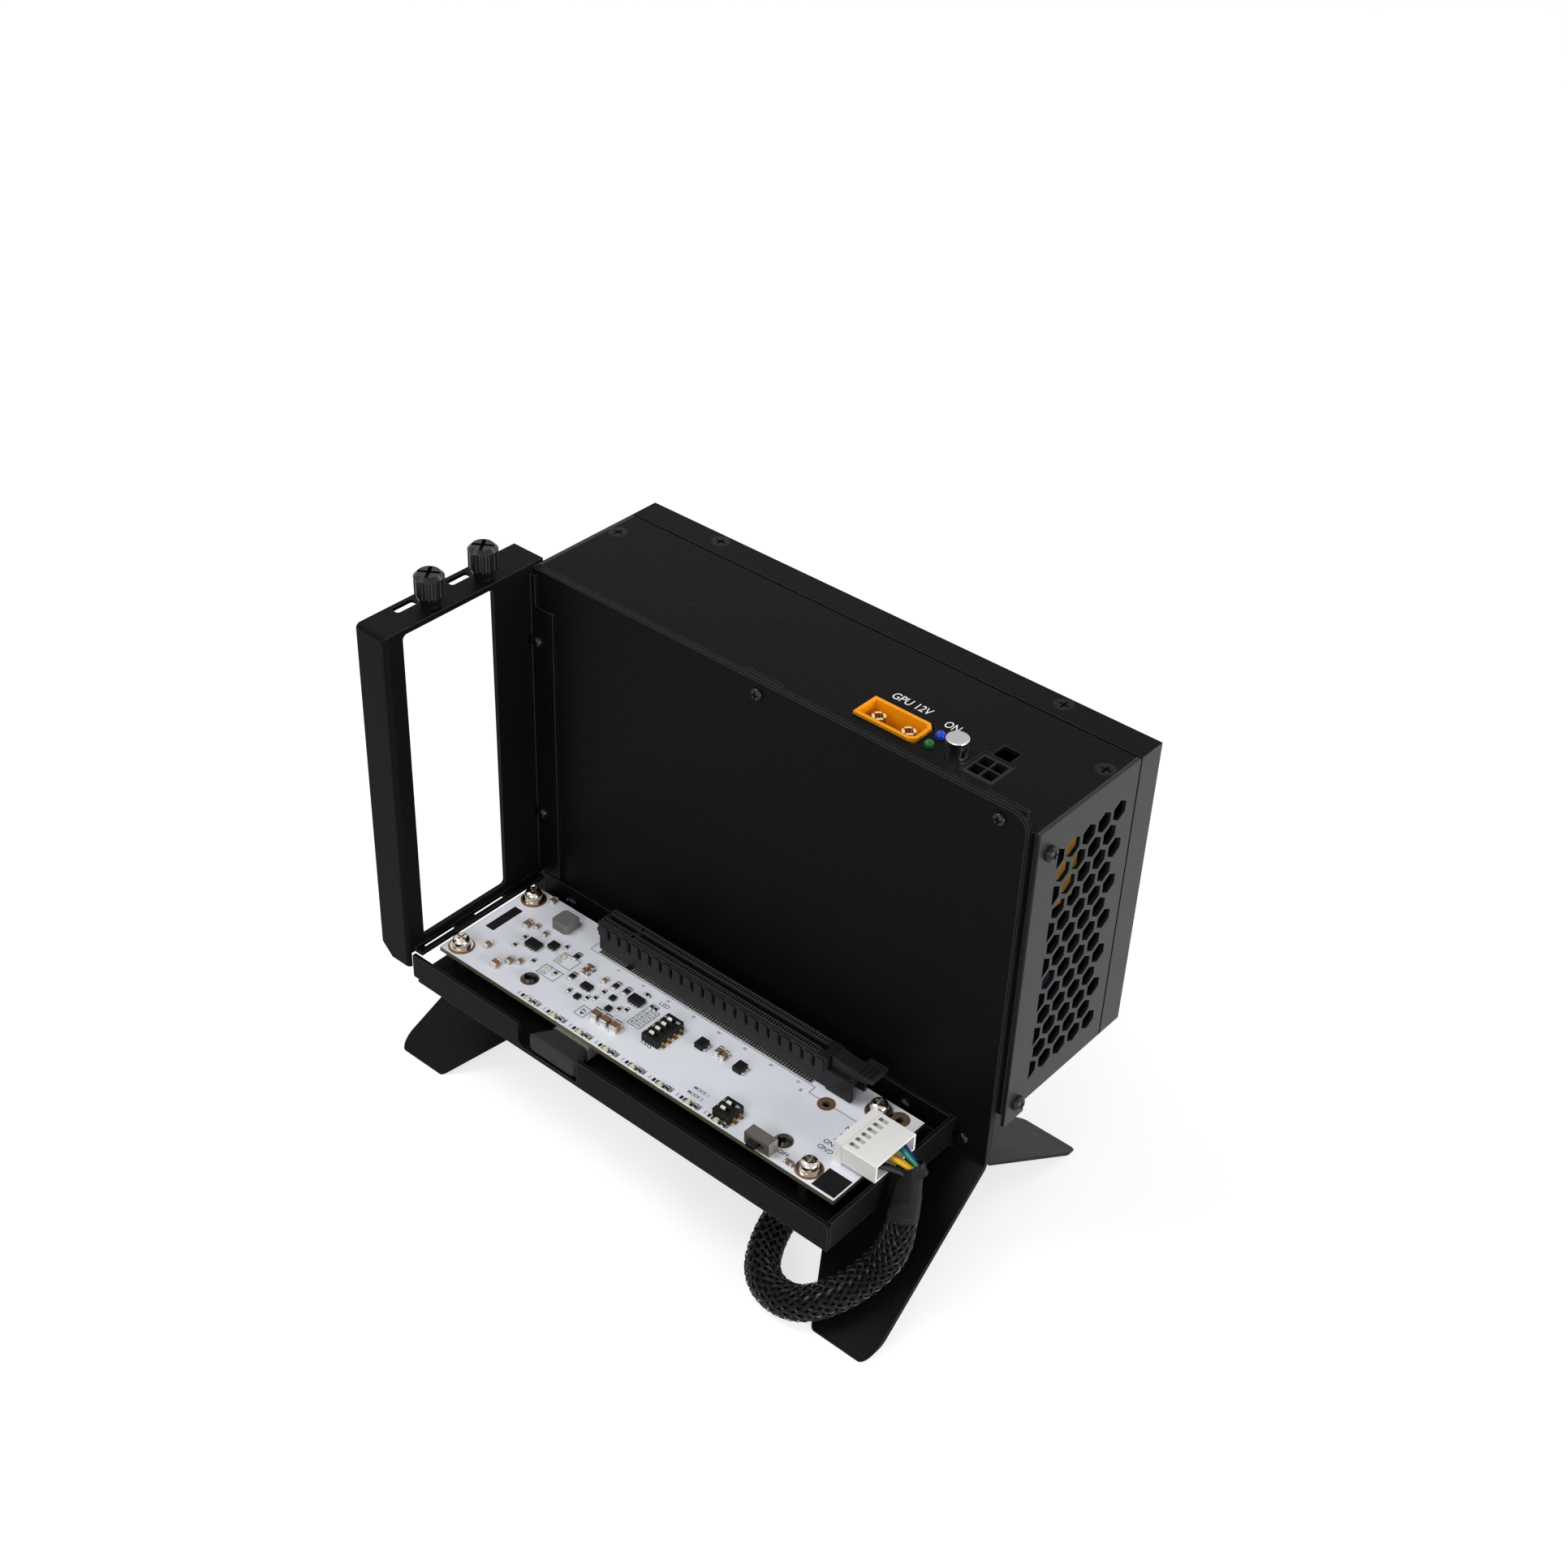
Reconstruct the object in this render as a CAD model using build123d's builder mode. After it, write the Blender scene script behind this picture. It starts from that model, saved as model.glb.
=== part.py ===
from build123d import *
from math import copysign, pi, radians, sqrt, tan
import os

os.makedirs("parts", exist_ok=True)

# Open dock for one graphics card: folded steel stand, card bracket, board tray and power box.
# Millimetres. Z is up from the floor, X runs along the card slot, Y runs back to the power box.

# Driving dimensions: folded sheet stand
sheet = 1.2
bend_radius = 1.5
plate_width = 178.4
plate_height = 122.0
plate_corner = 5.0
leg_height = 31.3
leg_root = 50.0
leg_toe = 20.0
leg_flare = 5.0
rear_flare = 0.5
leg_corner = 6.0
toe_corner = 3.0
toe_trim = 0.52
front_reach = 55.2
rear_reach = 48.4
bay_depth = 56.0

# Driving dimensions: card bracket frame
bracket_overhang = 7.9
bracket_flange = 11.8
bracket_rise = 1.3
bracket_tail = 4.1
pillar_drop = 5.0
window_front = 6.4
window_width = 33.8
window_sill = 4.1
window_corner = 1.5
bracket_pitch = 20.32
bracket_ear = 8.7
bracket_ear_top = 12.0
shelf_width = 3.2
shelf_rise = 1.3
slit_width = 1.6
slit_length = 12.5
slit_inset = 11.55
flange_slot_length = 7.8
flange_slot_width = 3.0
flange_slot_corner = 0.8
flange_slot_row = 9.0
flange_slot_back = 5.5
screw_row = 4.5
screw_inset = 20.9

# Driving dimensions: board and tray
board_length = 153.9
board_width = 40.0
board_thick = 1.6
board_height = 42.3
board_gap = 3.7
board_back_gap = 6.9
tray_lip = 9.6
tray_rise = 1.2
tray_end_gap = 5.5
tray_left_gap = 2.1
tray_chamfer = 1.4
notch_start = 42.5
notch_width = 24.0
notch_left = 1.3
notch_corner = 2.5
corner_seam = 0.3

# Driving dimensions: power box
psu_length = 183.8
psu_depth = 56.2
psu_height = 97.4
psu_lift = 50.8
cover_depth = 10.3
seam = 0.4
vent_pitch = 7.1
vent_hole = 5.8
vent_columns = 4
vent_rows = 13
end_ear = 4.2
end_ear_width = 9.0
tab_width = 13.0
tab_lift = 1.0
pan_head_rise = 1.8

# Fits and clearances
fit = 0.1
slide_fit = 0.2
travel_room = 0.1

# Places that follow from the driving dimensions
rear_depth = 2 * sheet + psu_depth
left_reach = plate_width / 2 + bracket_overhang
right_reach = max(plate_width / 2 + leg_flare - toe_trim, psu_length / 2 + pan_head_rise)
plate_mid = (left_reach - right_reach) / 2
plate_left = plate_mid - plate_width / 2
plate_right = plate_mid + plate_width / 2
plate_y = (bay_depth - rear_depth) / 2
front_y = plate_y - bay_depth
plate_top = leg_height + plate_height
bracket_left = plate_left - bracket_overhang
bracket_x = bracket_left + bracket_flange
bracket_top = plate_top + bracket_rise
board_left = bracket_x + board_gap
board_right = board_left + board_length
board_front = plate_y - board_back_gap - board_width
board_under = board_height - board_thick
tray_top = board_height + tray_rise
tray_bottom = tray_top - tray_lip
tray_floor = tray_bottom + sheet
tray_left = board_left - tray_left_gap
tray_right = board_right + tray_end_gap
psu_left = plate_mid - psu_length / 2
psu_right = plate_mid + psu_length / 2
psu_front = plate_y + 2 * sheet
psu_back = psu_front + psu_depth
psu_top = psu_lift + psu_height
psu_mid = psu_lift + psu_height / 2
seam_y = psu_back - cover_depth


def span_box(x, y, z, mode=Mode.ADD):
    """Add a box that fills three spans, each a pair of ends."""
    with Locations(((x[0] + x[1]) / 2, (y[0] + y[1]) / 2, (z[0] + z[1]) / 2)):
        return Box(x[1] - x[0], y[1] - y[0], z[1] - z[0], mode=mode)


def on_board(x, y, z=0.0):
    """A point given from the board's front left corner and its top face."""
    return (board_left + x, board_front + y, board_height + z)


def save(piece, name):
    """Label a finished piece and write it to its own file."""
    piece.part.label = name
    export_step(piece.part, f"parts/{name}.step")


# Folded stand: two plates back to back, each with a pair of legs bent from its lower edge

screw_r = 1.5
screw_hole = screw_r + fit
plate_screw_drop = 4.0
plate_screw_inset = 8.3
low_screw_rise = 6.0
tray_screw_left = 13.0
tray_screw_right = 16.3
ear_screw_inset = 2.7
ear_screw_drops = (24.6, 87.1)
ear_screw_x = bracket_x + ear_screw_inset
lip_screw_z = (tray_top + tray_bottom) / 2
stand_screw_x = min(plate_right, psu_right) - plate_screw_inset

stand_screws = [
    (plate_mid, plate_top - plate_screw_drop),
    (stand_screw_x, plate_top - plate_screw_drop),
    (stand_screw_x, leg_height + low_screw_rise),
]
tray_screws = [
    (tray_left + tray_screw_left, lip_screw_z),
    (tray_right - tray_screw_right, lip_screw_z),
]
ear_screws = [(ear_screw_x, bracket_top - drop) for drop in ear_screw_drops]


def make_plate(face_y, reach, flare):
    """One folded plate: a bent sheet, trimmed to its outline with two legs, and drilled."""
    toe_run = abs(reach) + leg_corner
    toe_y = face_y + copysign(toe_run, reach)
    toe_z = leg_height - leg_height * toe_run / abs(reach)
    through = 2 * psu_back
    with BuildPart() as plate:
        with BuildSketch(Plane.YZ.offset(plate_left - leg_flare)):
            with BuildLine():
                FilletPolyline(
                    (face_y, plate_top),
                    (face_y, leg_height),
                    (toe_y, toe_z),
                    radius=bend_radius + sheet / 2,
                )
            trace(line_width=sheet)
        extrude(amount=plate_width + 2 * leg_flare)
        with BuildSketch(Plane.XZ.offset(-through)):
            with BuildLine():
                FilletPolyline(
                    (plate_mid, plate_top),
                    (plate_right, plate_top),
                    (plate_right, leg_height),
                    (plate_right + flare, 0),
                    (plate_right + flare - leg_toe, 0),
                    (plate_right - leg_root, leg_height),
                    (plate_mid, leg_height),
                    radius=[plate_corner, sheet, toe_corner, toe_corner, leg_corner],
                )
                Line((plate_mid, leg_height), (plate_mid, plate_top))
            make_face()
            mirror(about=Plane.YZ.offset(plate_mid))
        extrude(amount=2 * through, mode=Mode.INTERSECT)
        with BuildSketch(Plane.XZ.offset(-face_y - sheet)):
            with Locations(*stand_screws, *tray_screws, *ear_screws):
                Circle(screw_hole)
        extrude(amount=2 * sheet, mode=Mode.SUBTRACT)
    return plate


front_plate = make_plate(plate_y + sheet / 2, -front_reach, leg_flare)
save(front_plate, "front_plate")
rear_plate = make_plate(plate_y + 1.5 * sheet, rear_reach, rear_flare)
save(rear_plate, "rear_plate")


# Card bracket frame: one folded sheet with a window, standing across the end of the bay

window_bottom = board_height + window_sill
window_top = bracket_top - 1.5 * sheet
window_mid_y = front_y + window_front + window_width / 2
shelf_top = board_height + shelf_rise
shelf_end_gap = 2.5
slit_y = front_y + slit_inset
screw_x = bracket_x - screw_row
screw_y = front_y + screw_inset
flange_slot_x = bracket_x - flange_slot_row
flange_slot_y = screw_y - flange_slot_back
thumb_r = 2.0
pillar_chamfer = 4.0
ear_step_z = bracket_top - bracket_ear_top - sheet
ear_neck = 1.8
ear_neck_drop = 3.0
ear_gap = 0.8
ear_bottom = tray_top + ear_gap
pair = (0, bracket_pitch)

with BuildPart() as bracket_frame:
    with BuildSketch(Plane.YZ.offset(bracket_x - sheet)):
        with Locations((front_y + bay_depth / 2, (shelf_top - sheet + bracket_top) / 2)):
            Rectangle(bay_depth, bracket_top - shelf_top + sheet)
        with Locations((window_mid_y, (window_bottom + window_top) / 2)):
            RectangleRounded(window_width, window_top - window_bottom, window_corner, mode=Mode.SUBTRACT)
    extrude(amount=sheet)
    with BuildSketch(Plane.XZ.offset(-front_y)):
        with BuildLine():
            Polyline(
                (bracket_left, bracket_top),
                (bracket_x, bracket_top),
                (bracket_x, board_height - pillar_drop),
                (bracket_left + pillar_chamfer, board_height - pillar_drop),
                (bracket_left, board_height - pillar_drop + pillar_chamfer),
                close=True,
            )
        make_face()
    extrude(amount=-sheet)
    span_box(
        (bracket_left, bracket_x),
        (front_y, plate_y + bracket_tail),
        (bracket_top - sheet, bracket_top),
    )
    span_box(
        (bracket_x - sheet, bracket_x + bracket_ear),
        (plate_y - sheet, plate_y),
        (ear_bottom, ear_step_z),
    )
    span_box(
        (bracket_x - sheet, bracket_x + ear_neck),
        (plate_y - sheet, plate_y),
        (ear_step_z, bracket_top - ear_neck_drop),
    )
    span_box(
        (bracket_x - sheet, bracket_x + shelf_width),
        (front_y + shelf_end_gap, plate_y - shelf_end_gap),
        (shelf_top - sheet, shelf_top),
    )
    upright = bracket_frame.edges().filter_by(Axis.Z).sort_by_distance((bracket_x, front_y, plate_top / 2))
    level = bracket_frame.edges().filter_by(Axis.X).sort_by_distance((bracket_left, front_y, bracket_top))
    fillet(upright[:1] + level[:1], bend_radius)
    with BuildSketch(Plane.XY.offset(bracket_top)):
        with Locations(*[(screw_x, screw_y + step) for step in pair]):
            Circle(thumb_r + fit)
        with Locations(*[(flange_slot_x, flange_slot_y + step) for step in pair]):
            RectangleRounded(flange_slot_width, flange_slot_length, flange_slot_corner)
    extrude(amount=-sheet, mode=Mode.SUBTRACT)
    with BuildSketch(Plane.XY.offset(shelf_top)):
        with Locations(*[(bracket_x + fit + slit_width / 2, slit_y + step) for step in pair]):
            Rectangle(slit_width, slit_length)
    extrude(amount=-sheet, mode=Mode.SUBTRACT)
    with BuildSketch(Plane.XZ.offset(-plate_y)):
        with Locations(*ear_screws):
            Circle(screw_hole)
    extrude(amount=sheet, mode=Mode.SUBTRACT)
save(bracket_frame, "bracket_frame")

# Board tray: folded sheet with a front, a right and a back lip, open at the bracket end

notch_left_x = board_left + notch_start
notch_right_x = notch_left_x + notch_width
lip_corner = 0.3
lead_corner = 1.0

with BuildPart() as board_tray:
    span_box((tray_left, tray_right), (front_y, plate_y), (tray_bottom, tray_floor))
    span_box(
        (tray_right - sheet, tray_right),
        (front_y + sheet + corner_seam, plate_y),
        (tray_bottom, tray_top),
    )
    span_box(
        (tray_left, tray_right - sheet - corner_seam),
        (plate_y - sheet, plate_y),
        (tray_bottom, tray_top),
    )
    with BuildSketch(Plane.XZ.offset(-front_y)):
        with BuildLine():
            FilletPolyline(
                (tray_left + tray_chamfer, tray_bottom),
                (tray_right, tray_bottom),
                (tray_right, tray_top),
                (notch_right_x, tray_top),
                (notch_right_x, tray_bottom + notch_left),
                (notch_left_x, tray_bottom + notch_left),
                (notch_left_x, tray_top),
                (tray_left, tray_top),
                (tray_left, tray_bottom + tray_chamfer),
                close=True,
                radius=[lip_corner, lip_corner, notch_corner, lip_corner, lip_corner]
                + [notch_corner, lead_corner, lip_corner, lip_corner],
            )
        make_face()
    extrude(amount=-sheet)
    with BuildSketch(Plane.XZ.offset(-plate_y)):
        with Locations(*tray_screws):
            Circle(screw_hole)
    extrude(amount=sheet, mode=Mode.SUBTRACT)
    with BuildSketch(Plane.XY.offset(tray_bottom)):
        with Locations((tray_left, front_y)):
            Rectangle(2 * tray_chamfer, 2 * tray_chamfer, rotation=45)
    extrude(amount=sheet, mode=Mode.SUBTRACT)
save(board_tray, "board_tray")


# Fasteners: one turned profile for each kind of head


def turned_screw(head_points, shank_r, shank_length):
    """A screw on the Z axis, seated at zero, from the half profile of its head."""
    top = head_points[0][1]
    with BuildPart() as screw:
        with BuildSketch(Plane.XZ):
            with BuildLine():
                seat = head_points[-1][1]
                shank = [(shank_r, seat), (shank_r, -shank_length), (0, -shank_length)]
                Polyline((0, top), *head_points, *shank, close=True)
            make_face()
        revolve(axis=Axis.Z)
    return screw.part


pan_head_r = 2.7
pan_head = [(1.5, pan_head_rise), (2.3, 1.4), (pan_head_r, 0.7), (pan_head_r, 0)]
end_screw = turned_screw(pan_head, screw_r, 2 * sheet + 2 * fit)
deep_screw = turned_screw(pan_head, screw_r, 3 * sheet)
low_head = [(1.4, 1.1), (2.0, 0.8), (2.3, 0.3), (2.3, 0)]
plate_screw = turned_screw(low_head, screw_r, 3 * sheet)

with BuildPart() as plate_screws:
    with Locations(*[Location((x, plate_y, z), (90, 0, 0)) for x, z in stand_screws]):
        add(plate_screw)
    with Locations(*[Location((x, plate_y - sheet, z), (90, 0, 0)) for x, z in tray_screws + ear_screws]):
        add(deep_screw)
save(plate_screws, "plate_screws")


# Thumbscrews on the bracket flange: fluted barrel heads with a cross slot

thumb_head_r = 4.4
thumb_height = 10.5
thumb_collar_r = 2.9
thumb_collar = 0.8
thumb_tip = 0.6
thumb_shank = sheet + thumb_tip
flute_count = 16
flute_r = 0.55
thumb_cone = 3.2
thumb_edge = 1.2
flute_stop = 1.6
cross_inset = 2.2
cross_width = 1.1
cross_depth = 1.6


def make_thumbscrew(y):
    """A thumbscrew seated on the bracket flange at the given depth."""
    base = bracket_top
    with BuildPart() as thumb:
        with BuildSketch(Plane.XZ.offset(-y)):
            with BuildLine():
                Polyline(
                    (screw_x, base - thumb_shank),
                    (screw_x + thumb_r, base - thumb_shank),
                    (screw_x + thumb_r, base),
                    (screw_x + thumb_collar_r, base),
                    (screw_x + thumb_collar_r, base + thumb_collar),
                    (screw_x + thumb_head_r, base + thumb_collar + thumb_cone),
                    (screw_x + thumb_head_r, base + thumb_height - thumb_edge),
                    (screw_x + thumb_head_r - thumb_edge, base + thumb_height),
                    (screw_x, base + thumb_height),
                    close=True,
                )
            make_face()
        revolve(axis=Axis((screw_x, y, 0), (0, 0, 1)))
        with BuildSketch(Plane.XY.offset(base + thumb_collar)):
            with Locations((screw_x, y)):
                with PolarLocations(thumb_head_r + flute_r / 3, flute_count):
                    Circle(flute_r)
        extrude(amount=thumb_height - thumb_collar - flute_stop, mode=Mode.SUBTRACT)
        for turn in (35, 125):
            with Locations(Location((screw_x, y, base + thumb_height - cross_depth / 2), (0, 0, turn))):
                Box(2 * thumb_head_r - cross_inset, cross_width, cross_depth, mode=Mode.SUBTRACT)
    return thumb


for number, step in enumerate(pair, start=1):
    save(make_thumbscrew(screw_y + step), f"thumbscrew_{number}")


# Main board with its fixings

board_hole = 1.75
post_r = 3.0
post_bore = 1.65
post_rows = (4.7, board_width - 5.0)
post_columns = (4.5, 141.5)
board_screw_places = [(x, y) for x in post_columns for y in post_rows]
rivet_places = [(30.3, 8.0), (129.5, 8.0)]
spare_holes = [(128.9, board_width - 12.8), (147.9, board_width - 3.8)]
spare_hole = 1.25

with BuildPart() as main_board:
    with BuildSketch(Plane.XY.offset(board_under)):
        with Locations(on_board(board_length / 2, board_width / 2)[:2]):
            Rectangle(board_length, board_width)
        with Locations(*[on_board(x, y)[:2] for x, y in board_screw_places + rivet_places]):
            Circle(board_hole, mode=Mode.SUBTRACT)
        with Locations(*[on_board(x, y)[:2] for x, y in spare_holes]):
            Circle(spare_hole, mode=Mode.SUBTRACT)
    extrude(amount=board_thick)
save(main_board, "main_board")

with BuildPart() as board_posts:
    with BuildSketch(Plane.XY.offset(tray_floor)):
        with Locations(*[on_board(x, y)[:2] for x, y in board_screw_places]):
            RegularPolygon(post_r, 6)
            Circle(post_bore, mode=Mode.SUBTRACT)
    extrude(amount=board_under - tray_floor)
save(board_posts, "board_posts")

washer_r = 3.5
washer_thick = 0.5
ring_r = 2.9
ring_thick = 0.9
ring_top = washer_thick + ring_thick
washer_head = [
    (1.5, ring_top + 2.2),
    (2.4, ring_top + 1.7),
    (2.75, ring_top + 0.8),
    (2.75, ring_top + 0.1),
    (2.4, ring_top),
    (ring_r, ring_top - 0.1),
    (ring_r, washer_thick),
    (washer_r, washer_thick),
    (washer_r, 0),
]
post_gap = 0.4
board_screw = turned_screw(washer_head, screw_r, board_height - tray_floor - post_gap)
with BuildPart() as board_screws:
    with Locations(*[on_board(x, y) for x, y in board_screw_places]):
        add(board_screw)
save(board_screws, "board_screws")

rivet_r = 2.4
rivet_height = 1.1
rivet_bore = 1.0
with BuildPart() as board_rivets:
    for place in rivet_places:
        x, y, z = on_board(*place)
        with BuildSketch(Plane.XZ.offset(-y)):
            with BuildLine():
                Polyline(
                    (x + rivet_bore, z + 0.5),
                    (x + rivet_bore + 0.6, z + rivet_height),
                    (x + rivet_r - 0.7, z + rivet_height),
                    (x + rivet_r, z + 0.3),
                    (x + rivet_r, z),
                    (x + board_hole - fit, z),
                    (x + board_hole - fit, z - board_thick),
                    (x, z - board_thick),
                    (x, z - 0.4),
                    (x + rivet_bore, z - 0.4),
                    close=True,
                )
            make_face()
        revolve(axis=Axis((x, y, z), (0, 0, 1)))
save(board_rivets, "board_rivets")


# Card slot: ribbed housing with a keyed groove, end cheeks for the latch and rows of contacts

slot_start = 35.8
slot_length = 89.0
slot_y = board_width - 4.7
slot_height = 11.25
slot_foot = 0.3
slot_top_half = 3.75
slot_low_half = 3.2
slot_waist = 5.0
groove_width = 1.9
groove_depth = 8.0
first_pin = 37.2
pin_pitch = 1.0
short_side = 11
long_side = 71
key_gap = 3.0
key_width = 1.9
rib_pitch = 4.2
rib_count = 20
rib_width = 0.6
rib_depth = 0.6
rib_height = 3.6
contact_width = 0.5
contact_length = 2.0
contact_thick = 0.28
contact_tuck = 0.4
cheek_length = 9.0
cheek_height = 7.6
cheek_wall = 1.2
ear_boss_r = 1.1
ear_boss_rise = 7.0
slot_step = 0.6
groove_start = 1.0
groove_stop = 2.6
pivot_ahead = 4.6
pivot_rise = 3.4

slot_left = board_left + slot_start
slot_right = slot_left + slot_length
slot_mid = board_front + slot_y
slot_base = board_height + slot_foot
slot_top = board_height + slot_height
key_x = board_left + first_pin + (short_side - 1) * pin_pitch + key_gap / 2
groove_left = slot_left + groove_start
groove_right = slot_right - groove_stop
pivot_x = slot_right + pivot_ahead
pivot_z = board_height + pivot_rise
pivot_r = 0.9
latch_half = slot_top_half - cheek_wall - slide_fit

with BuildPart() as card_slot:
    with BuildSketch(Plane.YZ.offset(slot_left)):
        with BuildLine():
            Polyline(
                (slot_mid - slot_low_half, slot_base),
                (slot_mid - slot_low_half, slot_base + slot_waist),
                (slot_mid - slot_top_half, slot_base + slot_waist + slot_step),
                (slot_mid - slot_top_half, slot_top),
                (slot_mid + slot_top_half, slot_top),
                (slot_mid + slot_top_half, slot_base + slot_waist + slot_step),
                (slot_mid + slot_low_half, slot_base + slot_waist),
                (slot_mid + slot_low_half, slot_base),
                close=True,
            )
        make_face()
    extrude(amount=slot_length)
    for ends in ((groove_left, key_x - key_width / 2), (key_x + key_width / 2, groove_right)):
        span_box(
            ends,
            (slot_mid - groove_width / 2, slot_mid + groove_width / 2),
            (slot_top - groove_depth, slot_top),
            mode=Mode.SUBTRACT,
        )
    rib_mid = (slot_left + slot_right) / 2
    for side in (-1, 1):
        rib_y = slot_mid + side * (slot_top_half - rib_depth / 2)
        with Locations((rib_mid, rib_y, slot_base + slot_waist + slot_step + rib_height / 2)):
            with GridLocations(rib_pitch, 1, rib_count, 1):
                Box(rib_width, rib_depth, rib_height, mode=Mode.SUBTRACT)
        cheek_y = slot_mid + side * slot_top_half
        span_box(
            (slot_right, slot_right + cheek_length),
            sorted((cheek_y, cheek_y - side * cheek_wall)),
            (slot_base, board_height + cheek_height),
        )
    with Locations(Location((slot_left, slot_mid, slot_base + ear_boss_rise), (90, 0, 0))):
        Cylinder(ear_boss_r, 2 * slot_low_half)
    with Locations(Location((pivot_x, slot_mid, pivot_z), (90, 0, 0))):
        Cylinder(pivot_r + slide_fit, 2 * slot_top_half - cheek_wall, mode=Mode.SUBTRACT)
save(card_slot, "card_slot")

pin_steps = [i * pin_pitch for i in range(short_side)]
pin_steps += [(short_side - 1) * pin_pitch + key_gap + i * pin_pitch for i in range(long_side)]
with BuildPart() as slot_contacts:
    for side in (-1, 1):
        row_y = slot_y + side * (slot_low_half + contact_length / 2 - contact_tuck)
        with Locations(*[on_board(first_pin + step, row_y, contact_thick / 2) for step in pin_steps]):
            Box(contact_width, contact_length, contact_thick)
save(slot_contacts, "slot_contacts")

latch_back = slot_right + slide_fit
paddle_end = slot_right + 15.5
with BuildPart() as slot_latch:
    with BuildSketch(Plane.XZ.offset(-slot_mid - latch_half)):
        with BuildLine():
            FilletPolyline(
                (latch_back + 1.2, pivot_z - 1.6),
                (pivot_x + 2.2, pivot_z - 1.6),
                (pivot_x + 3.2, board_height + cheek_height + 0.6),
                (paddle_end, slot_top - 1.0),
                (paddle_end - 0.3, slot_top + 0.6),
                (pivot_x - 0.4, slot_top + 0.6),
                (latch_back + 0.6, slot_top + 1.4),
                (latch_back + 0.2, board_height + cheek_height),
                close=True,
                radius=0.5,
            )
        make_face()
    extrude(amount=2 * latch_half)
    with Locations(Location((pivot_x, slot_mid, pivot_z), (90, 0, 0))):
        Cylinder(pivot_r, 2 * slot_top_half - cheek_wall - 2 * slide_fit)
    span_box(
        (paddle_end - 6.5, paddle_end - 0.4),
        (slot_mid + latch_half, slot_mid + latch_half + 2.4),
        (slot_top - 0.8, slot_top + 0.6),
    )
    for groove in range(3):
        place = paddle_end - 1.6 - 1.6 * groove
        span_box(
            (place - 0.3, place + 0.3),
            (slot_mid - latch_half, slot_mid + latch_half),
            (slot_top + 0.3, slot_top + 0.6),
            mode=Mode.SUBTRACT,
        )
save(slot_latch, "slot_latch")


# Option switches: banks of small sliders in a black body with gold legs

bank_pitch = 2.54
bank_length = 6.2
bank_height = 3.0
bank_margin = 1.2
well_length = 3.2
well_width = 1.3
well_depth = 1.2
slider_length = 1.3
slider_width = 0.9
slider_proud = 0.45
leg_width = 1.1
leg_thick = 0.3
leg_out = 1.3
banks = {"mode_switch": (4, 75.8, 16.9), "light_switch": (2, 111.3, 5.4)}


def bank_rows(count, y):
    """Depths of the sliders of one bank, front to back."""
    return [y + (i - (count - 1) / 2) * bank_pitch for i in range(count)]


for name, (count, x, y) in banks.items():
    width = count * bank_pitch + bank_margin
    with BuildPart() as bank:
        with Locations(on_board(x, y, bank_height / 2)):
            Box(bank_length, width, bank_height)
        chamfer(bank.edges().filter_by(Axis.Y).group_by(Axis.Z)[-1], 0.3)
        with Locations(*[on_board(x, row, bank_height - well_depth / 2) for row in bank_rows(count, y)]):
            Box(well_length, well_width, well_depth, mode=Mode.SUBTRACT)
    save(bank, f"{name}_body")
    for number, row in enumerate(bank_rows(count, y), start=1):
        rest_x = x - well_length / 2 + travel_room + slider_length / 2
        low = bank_height - well_depth + travel_room
        high = bank_height + slider_proud
        with BuildPart() as slider:
            with Locations(on_board(rest_x, row, (low + high) / 2)):
                Box(slider_length, slider_width, high - low)
            chamfer(slider.edges().group_by(Axis.Z)[-1], 0.15)
        save(slider, f"{name}_slider_{number}")

with BuildPart() as switch_legs:
    for count, x, y in banks.values():
        for row in bank_rows(count, y):
            for side in (-1, 1):
                wall = x + side * bank_length / 2
                place_x, place_y, place_z = on_board(wall, row)
                span_box(
                    sorted((place_x, place_x + side * leg_out)),
                    (place_y - leg_width / 2, place_y + leg_width / 2),
                    (place_z, place_z + leg_thick),
                )
                span_box(
                    sorted((place_x, place_x + side * leg_thick)),
                    (place_y - leg_width / 2, place_y + leg_width / 2),
                    (place_z, place_z + bank_height / 2),
                )
save(switch_legs, "switch_legs")


# Slide switch at the front edge of the board

can_left = 121.7
can_length = 9.0
can_front = 0.3
can_depth = 3.7
can_height = 4.4
can_wall = 0.35
knob_length = 3.0
knob_height = 1.8
knob_reach = 1.7
knob_travel = 2.0
knob_room = knob_length + knob_travel + 2 * travel_room
knob_left = can_left + (can_length - knob_room) / 2 + travel_room
knob_z = 2.2

with BuildPart() as slide_switch_can:
    with Locations(on_board(can_left + can_length / 2, can_front + can_depth / 2, can_height / 2)):
        Box(can_length, can_depth, can_height)
    fillet(slide_switch_can.edges().filter_by(Axis.Y).group_by(Axis.Z)[-1], can_wall)
    with Locations(on_board(can_left + can_length / 2, can_front + can_depth / 4, knob_z)):
        Box(knob_room, can_depth / 2, knob_height + 2 * travel_room, mode=Mode.SUBTRACT)
save(slide_switch_can, "slide_switch_can")

with BuildPart() as slide_switch_knob:
    knob_back = can_front + can_depth / 2 - travel_room
    with Locations(on_board(knob_left + knob_length / 2, (knob_back - knob_reach) / 2, knob_z)):
        Box(knob_length, knob_back + knob_reach, knob_height)
    chamfer(slide_switch_knob.edges().group_by(Axis.Y)[0], 0.3)
save(slide_switch_knob, "slide_switch_knob")


# Power lead: header on the board, plug, six wires, heat shrink, sleeved cable and grommet

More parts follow.
